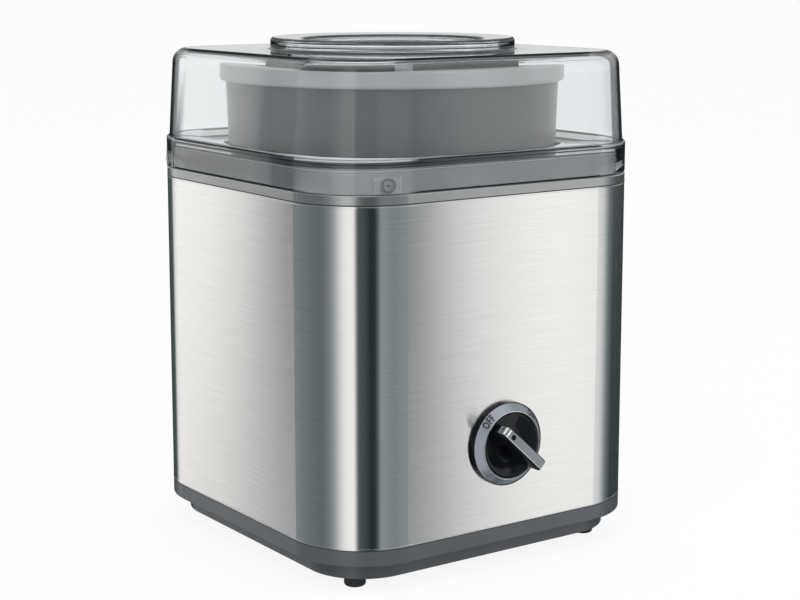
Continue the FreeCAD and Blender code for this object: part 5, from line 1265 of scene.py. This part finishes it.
dish = [(DISC_RADIUS - 1.2 * MM - step * MM,
         DISC_RIM - DISC_DISH * math.sin(step * math.pi / 16) ** 1.2) for step in range(1, 9)]
disc = turned_piece("knob_disc", [
    (SPINDLE_BORE, HUB_END), (HUB_RADIUS, HUB_END), (HUB_RADIUS, DISC_BACK),
    (DISC_RADIUS, DISC_BACK), (DISC_RADIUS, DISC_RIM - 0.3 * MM),
    (DISC_RADIUS - 0.3 * MM, DISC_RIM), (DISC_RADIUS - 1.1 * MM, DISC_RIM), *dish,
    (SPINDLE_BORE, DISC_RIM - DISC_DISH)],
    FINISHES["knob_black"])
print("disc radius", round(DISC_RADIUS / MM, 1), "mm")

# %% [markdown]
# The fin is a plate on edge. Its outline is drawn along the grip, from the
# nose to the tail, and up off the face, with a slight crown on the long edge
# so that light slides along it. The whole knob rests turned to OFF, at the
# upper left.

# %% Draw the grip's outline
REST_TURN = math.radians(45)
NOSE, NOSE_LEVEL = 16.3 * MM, 15.8 * MM
TAIL, TAIL_LEVEL = 14.3 * MM, 20.0 * MM
CROWN = 0.45 * MM
CROWN_STEPS = 12
EDGE_ROUND = 1.3 * MM


def on_grip(along, aside, height):
    """A point of the grip: along it towards OFF, to its side, and off the face."""
    across = -along * math.sin(REST_TURN) + aside * math.cos(REST_TURN)
    up = along * math.cos(REST_TURN) + aside * math.sin(REST_TURN)
    return on_dial(across, up, height)


def crown_at(share):
    """Height of the crown at a share of the long edge."""
    return CROWN * 4 * share * (1 - share)


def curve_through(corners, radius):
    """An open line with its inner corners bent round."""
    spots = [Vector(corner) for corner in corners]
    line = [spots[0]]
    for before, corner, after in zip(spots, spots[1:], spots[2:]):
        line += bend(before, corner, after, radius, 6)
    return line + [spots[-1]]


shares = [step / CROWN_STEPS for step in range(CROWN_STEPS + 1)]
crowned = [(NOSE - (TAIL + NOSE) * share,
            NOSE_LEVEL + (TAIL_LEVEL - NOSE_LEVEL) * share + crown_at(share)) for share in shares]
grip_edge = curve_through([
    (NOSE - 2.6 * MM, DISC_RIM - 0.8 * MM), (NOSE - 1.0 * MM, 8.5 * MM), *crowned,
    (-TAIL, 12.0 * MM), (1.5 * MM - TAIL, DISC_BACK)], EDGE_ROUND)
grip_outline = grip_edge + [Vector((NOSE - 2.6 * MM, DISC_BACK))]
print("points round the grip:", len(grip_outline))

# %% [markdown]
# The outline stands several times across the grip's width. The outer ones are
# pulled in a little, which gives the fin rounded shoulders. A loft joins them
# into one closed body.

# %% Make the grip
GRIP_HALF = 3.25 * MM
GRIP_MIDDLE = Vector((0.0, 8.0 * MM))


def loft(rows):
    """A body through rows of points, with faces between them and both ends closed."""
    shape = bmesh.new()
    grid = [[shape.verts.new(point) for point in row] for row in rows]
    for row, following in zip(grid, grid[1:]):
        for step in range(len(row)):
            beside = (step + 1) % len(row)
            shape.faces.new((row[step], row[beside], following[beside], following[step]))
    shape.faces.new(grid[0][::-1])
    shape.faces.new(grid[-1])
    bmesh.ops.recalc_face_normals(shape, faces=shape.faces)
    return shape


def finish_piece(name, shape, finish, sharp_angle=SHARP_ANGLE):
    """An object from a body, with smooth shading and its sharp edges kept."""
    mesh = bpy.data.meshes.new(name)
    shape.to_mesh(mesh)
    shape.free()
    mesh.materials.append(finish)
    mesh.shade_smooth()
    mesh.set_sharp_from_angle(angle=sharp_angle)
    return add_object(name, mesh)


fin_rows = []
for aside, pull in ((-GRIP_HALF, 0.9), (-GRIP_HALF + 0.15 * MM, 0.45), (-GRIP_HALF + 0.7 * MM, 0.0),
                    (GRIP_HALF - 0.7 * MM, 0.0), (GRIP_HALF - 0.15 * MM, 0.45), (GRIP_HALF, 0.9)):
    pulled = [spot + (GRIP_MIDDLE - spot).normalized() * pull * MM for spot in grip_outline]
    fin_rows.append([on_grip(spot.x, aside, spot.y) for spot in pulled])
fin = finish_piece("knob_grip", loft(fin_rows), FINISHES["knob_black"])
for piece in (disc, fin):
    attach(piece, "knob")
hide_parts("knob")
print("grip reaches", round(TAIL_LEVEL / MM, 1), "mm off the front")

# %% [markdown]
# The bright strip follows the fin's edge from the foot of the nose, round the
# bend and out to the tail. It is one flat band with a little thickness, so its
# cross-section is set at every point of that edge.

# %% Lay the bright strip
STRIP_HALF = 2.3 * MM
STRIP_INNER = STRIP_HALF - 0.25 * MM
STRIP_THICK = 0.7 * MM
STRIP_SINK = 0.2 * MM
STRIP_START = Vector((0, 1.0 * MM))

tail_index = max(range(len(grip_edge)), key=lambda index: grip_edge[index].y)
path = [point for point in grip_edge[:tail_index + 1] if point.y < TAIL_LEVEL + CROWN]
path[0] = path[0] + STRIP_START
strip_rows = []
for index, point in enumerate(path):
    way = (path[min(index + 1, len(path) - 1)] - path[max(index - 1, 0)]).normalized()
    outward = Vector((way.y, -way.x))
    low, high = point - outward * STRIP_SINK, point + outward * STRIP_THICK
    edge = point + outward * STRIP_THICK * 0.6
    section = ((-STRIP_HALF, low), (-STRIP_HALF, edge), (-STRIP_INNER, high),
               (STRIP_INNER, high), (STRIP_HALF, edge), (STRIP_HALF, low))
    strip_rows.append([on_grip(spot.x, aside, spot.y) for aside, spot in section])
strip = finish_piece("grip_strip", loft(strip_rows), FINISHES["grip_metal"], math.radians(25))
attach(strip, "knob")
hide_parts("grip_trim")
print("strip faces:", len(strip.data.polygons))

# %% [markdown]
# The strip carries a white index line across its bend and a round black dot
# behind it. Both are thin plates that follow the strip's surface.

# %% Mark the strip
INDEX_LIFT = 0.03 * MM
LINE_BACK, LINE_WIDTH, LINE_HALF = 1.4 * MM, 0.8 * MM, STRIP_HALF - 0.3 * MM
DOT_RADIUS, DOT_BACK = 1.45 * MM, 5.4 * MM

bend_spot = Vector((NOSE, NOSE_LEVEL))
long_edge = Vector((-TAIL, TAIL_LEVEL)) - bend_spot
slope = long_edge.normalized()
off_slope = Vector((slope.y, -slope.x))
paint_white = moulded("index_white", (0.86, 0.87, 0.87), 0.40, tone=0.02)


def strip_point(back, aside):
    """A point on the strip, so far behind the bend and to its side."""
    lift = STRIP_THICK + crown_at(back / long_edge.length) + INDEX_LIFT
    spot = bend_spot + slope * back + off_slope * lift
    return on_grip(spot.x, aside, spot.y)


def flat_mark(name, outline, finish):
    """One flat mark on the strip from (back, aside) points."""
    shape = bmesh.new()
    shape.faces.new([shape.verts.new(strip_point(back, aside)) for back, aside in outline])
    mark = finish_piece(name, shape, finish)
    if mark.data.polygons[0].normal.y > 0:
        mark.data.flip_normals()
    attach(mark, "knob")
    print(name, "with", len(outline), "corners")


line_end = LINE_BACK + LINE_WIDTH
flat_mark("index_line", [(LINE_BACK, -LINE_HALF), (LINE_BACK, LINE_HALF),
                         (line_end, LINE_HALF), (line_end, -LINE_HALF)], paint_white)
flat_mark("index_dot", arc((DOT_BACK, 0.0), DOT_RADIUS, 0, 350, 35), FINISHES["knob_black"])

# %% [markdown]
# OFF and ON are printed on the bevel, each turned to its place on the ring:
# OFF at the upper left, where the grip points at rest, and ON a quarter turn
# further. Text is flat, so it is made a mesh first, and then each point is
# rolled round the ring and laid on the slope.

# %% Make a word of ink
WORD_HEIGHT = 2.8 * MM
LETTER_SIZE, LETTER_WEIGHT, LETTER_GAP = WORD_HEIGHT * 1.4, WORD_HEIGHT * 0.05, 1.15

ink, tree, shader = new_finish("printed_ink")
fill(tree, shader, {
    "Base Color": two_tones(tree, pattern(tree, 1.5), (0.008, 0.008, 0.009), (0.02, 0.02, 0.022)),
    "Roughness": spread(tree, pattern(tree, 0.6), 0.45, 0.6)})


def word_mesh(word):
    """A word as a flat mesh, centred, with faces towards +Z."""
    letters = bpy.data.curves.new("letters", "FONT")
    letters.body = word
    letters.size = LETTER_SIZE
    letters.align_x = "CENTER"
    letters.align_y = "CENTER"
    letters.offset = LETTER_WEIGHT
    letters.space_character = LETTER_GAP
    letters.resolution_u = 6
    holder = add_object("letters", letters)
    bpy.context.view_layer.update()
    written = holder.evaluated_get(bpy.context.evaluated_depsgraph_get())
    flat = bpy.data.meshes.new_from_object(written)
    bpy.data.objects.remove(holder)
    bpy.data.curves.remove(letters)
    return flat


print("letters", round(WORD_HEIGHT / MM, 1), "mm high")

# %% Print the words
INK_LIFT = 0.05 * MM
WORD_RADIUS = (BEZEL_RADIUS + BEZEL_INNER) / 2


def bevel_height(radius):
    """Height of the bevel at a radius."""
    share = (BEVEL_FOOT[0] - radius) / (BEVEL_FOOT[0] - BEVEL_TOP[0])
    return BEVEL_FOOT[1] + share * (BEVEL_TOP[1] - BEVEL_FOOT[1])


for word, bearing in (("OFF", -45), ("ON", 45)):
    flat = word_mesh(word)
    for vertex in flat.vertices:
        radius = WORD_RADIUS + vertex.co.y
        angle = math.radians(bearing) + vertex.co.x / WORD_RADIUS
        vertex.co = on_dial(radius * math.sin(angle), radius * math.cos(angle),
                            bevel_height(radius) + INK_LIFT)
    flat.materials.append(ink)
    piece = add_object("word_" + word.lower(), flat)
    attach(piece, "base")
    print(piece.name, "printed at", bearing, "degrees")
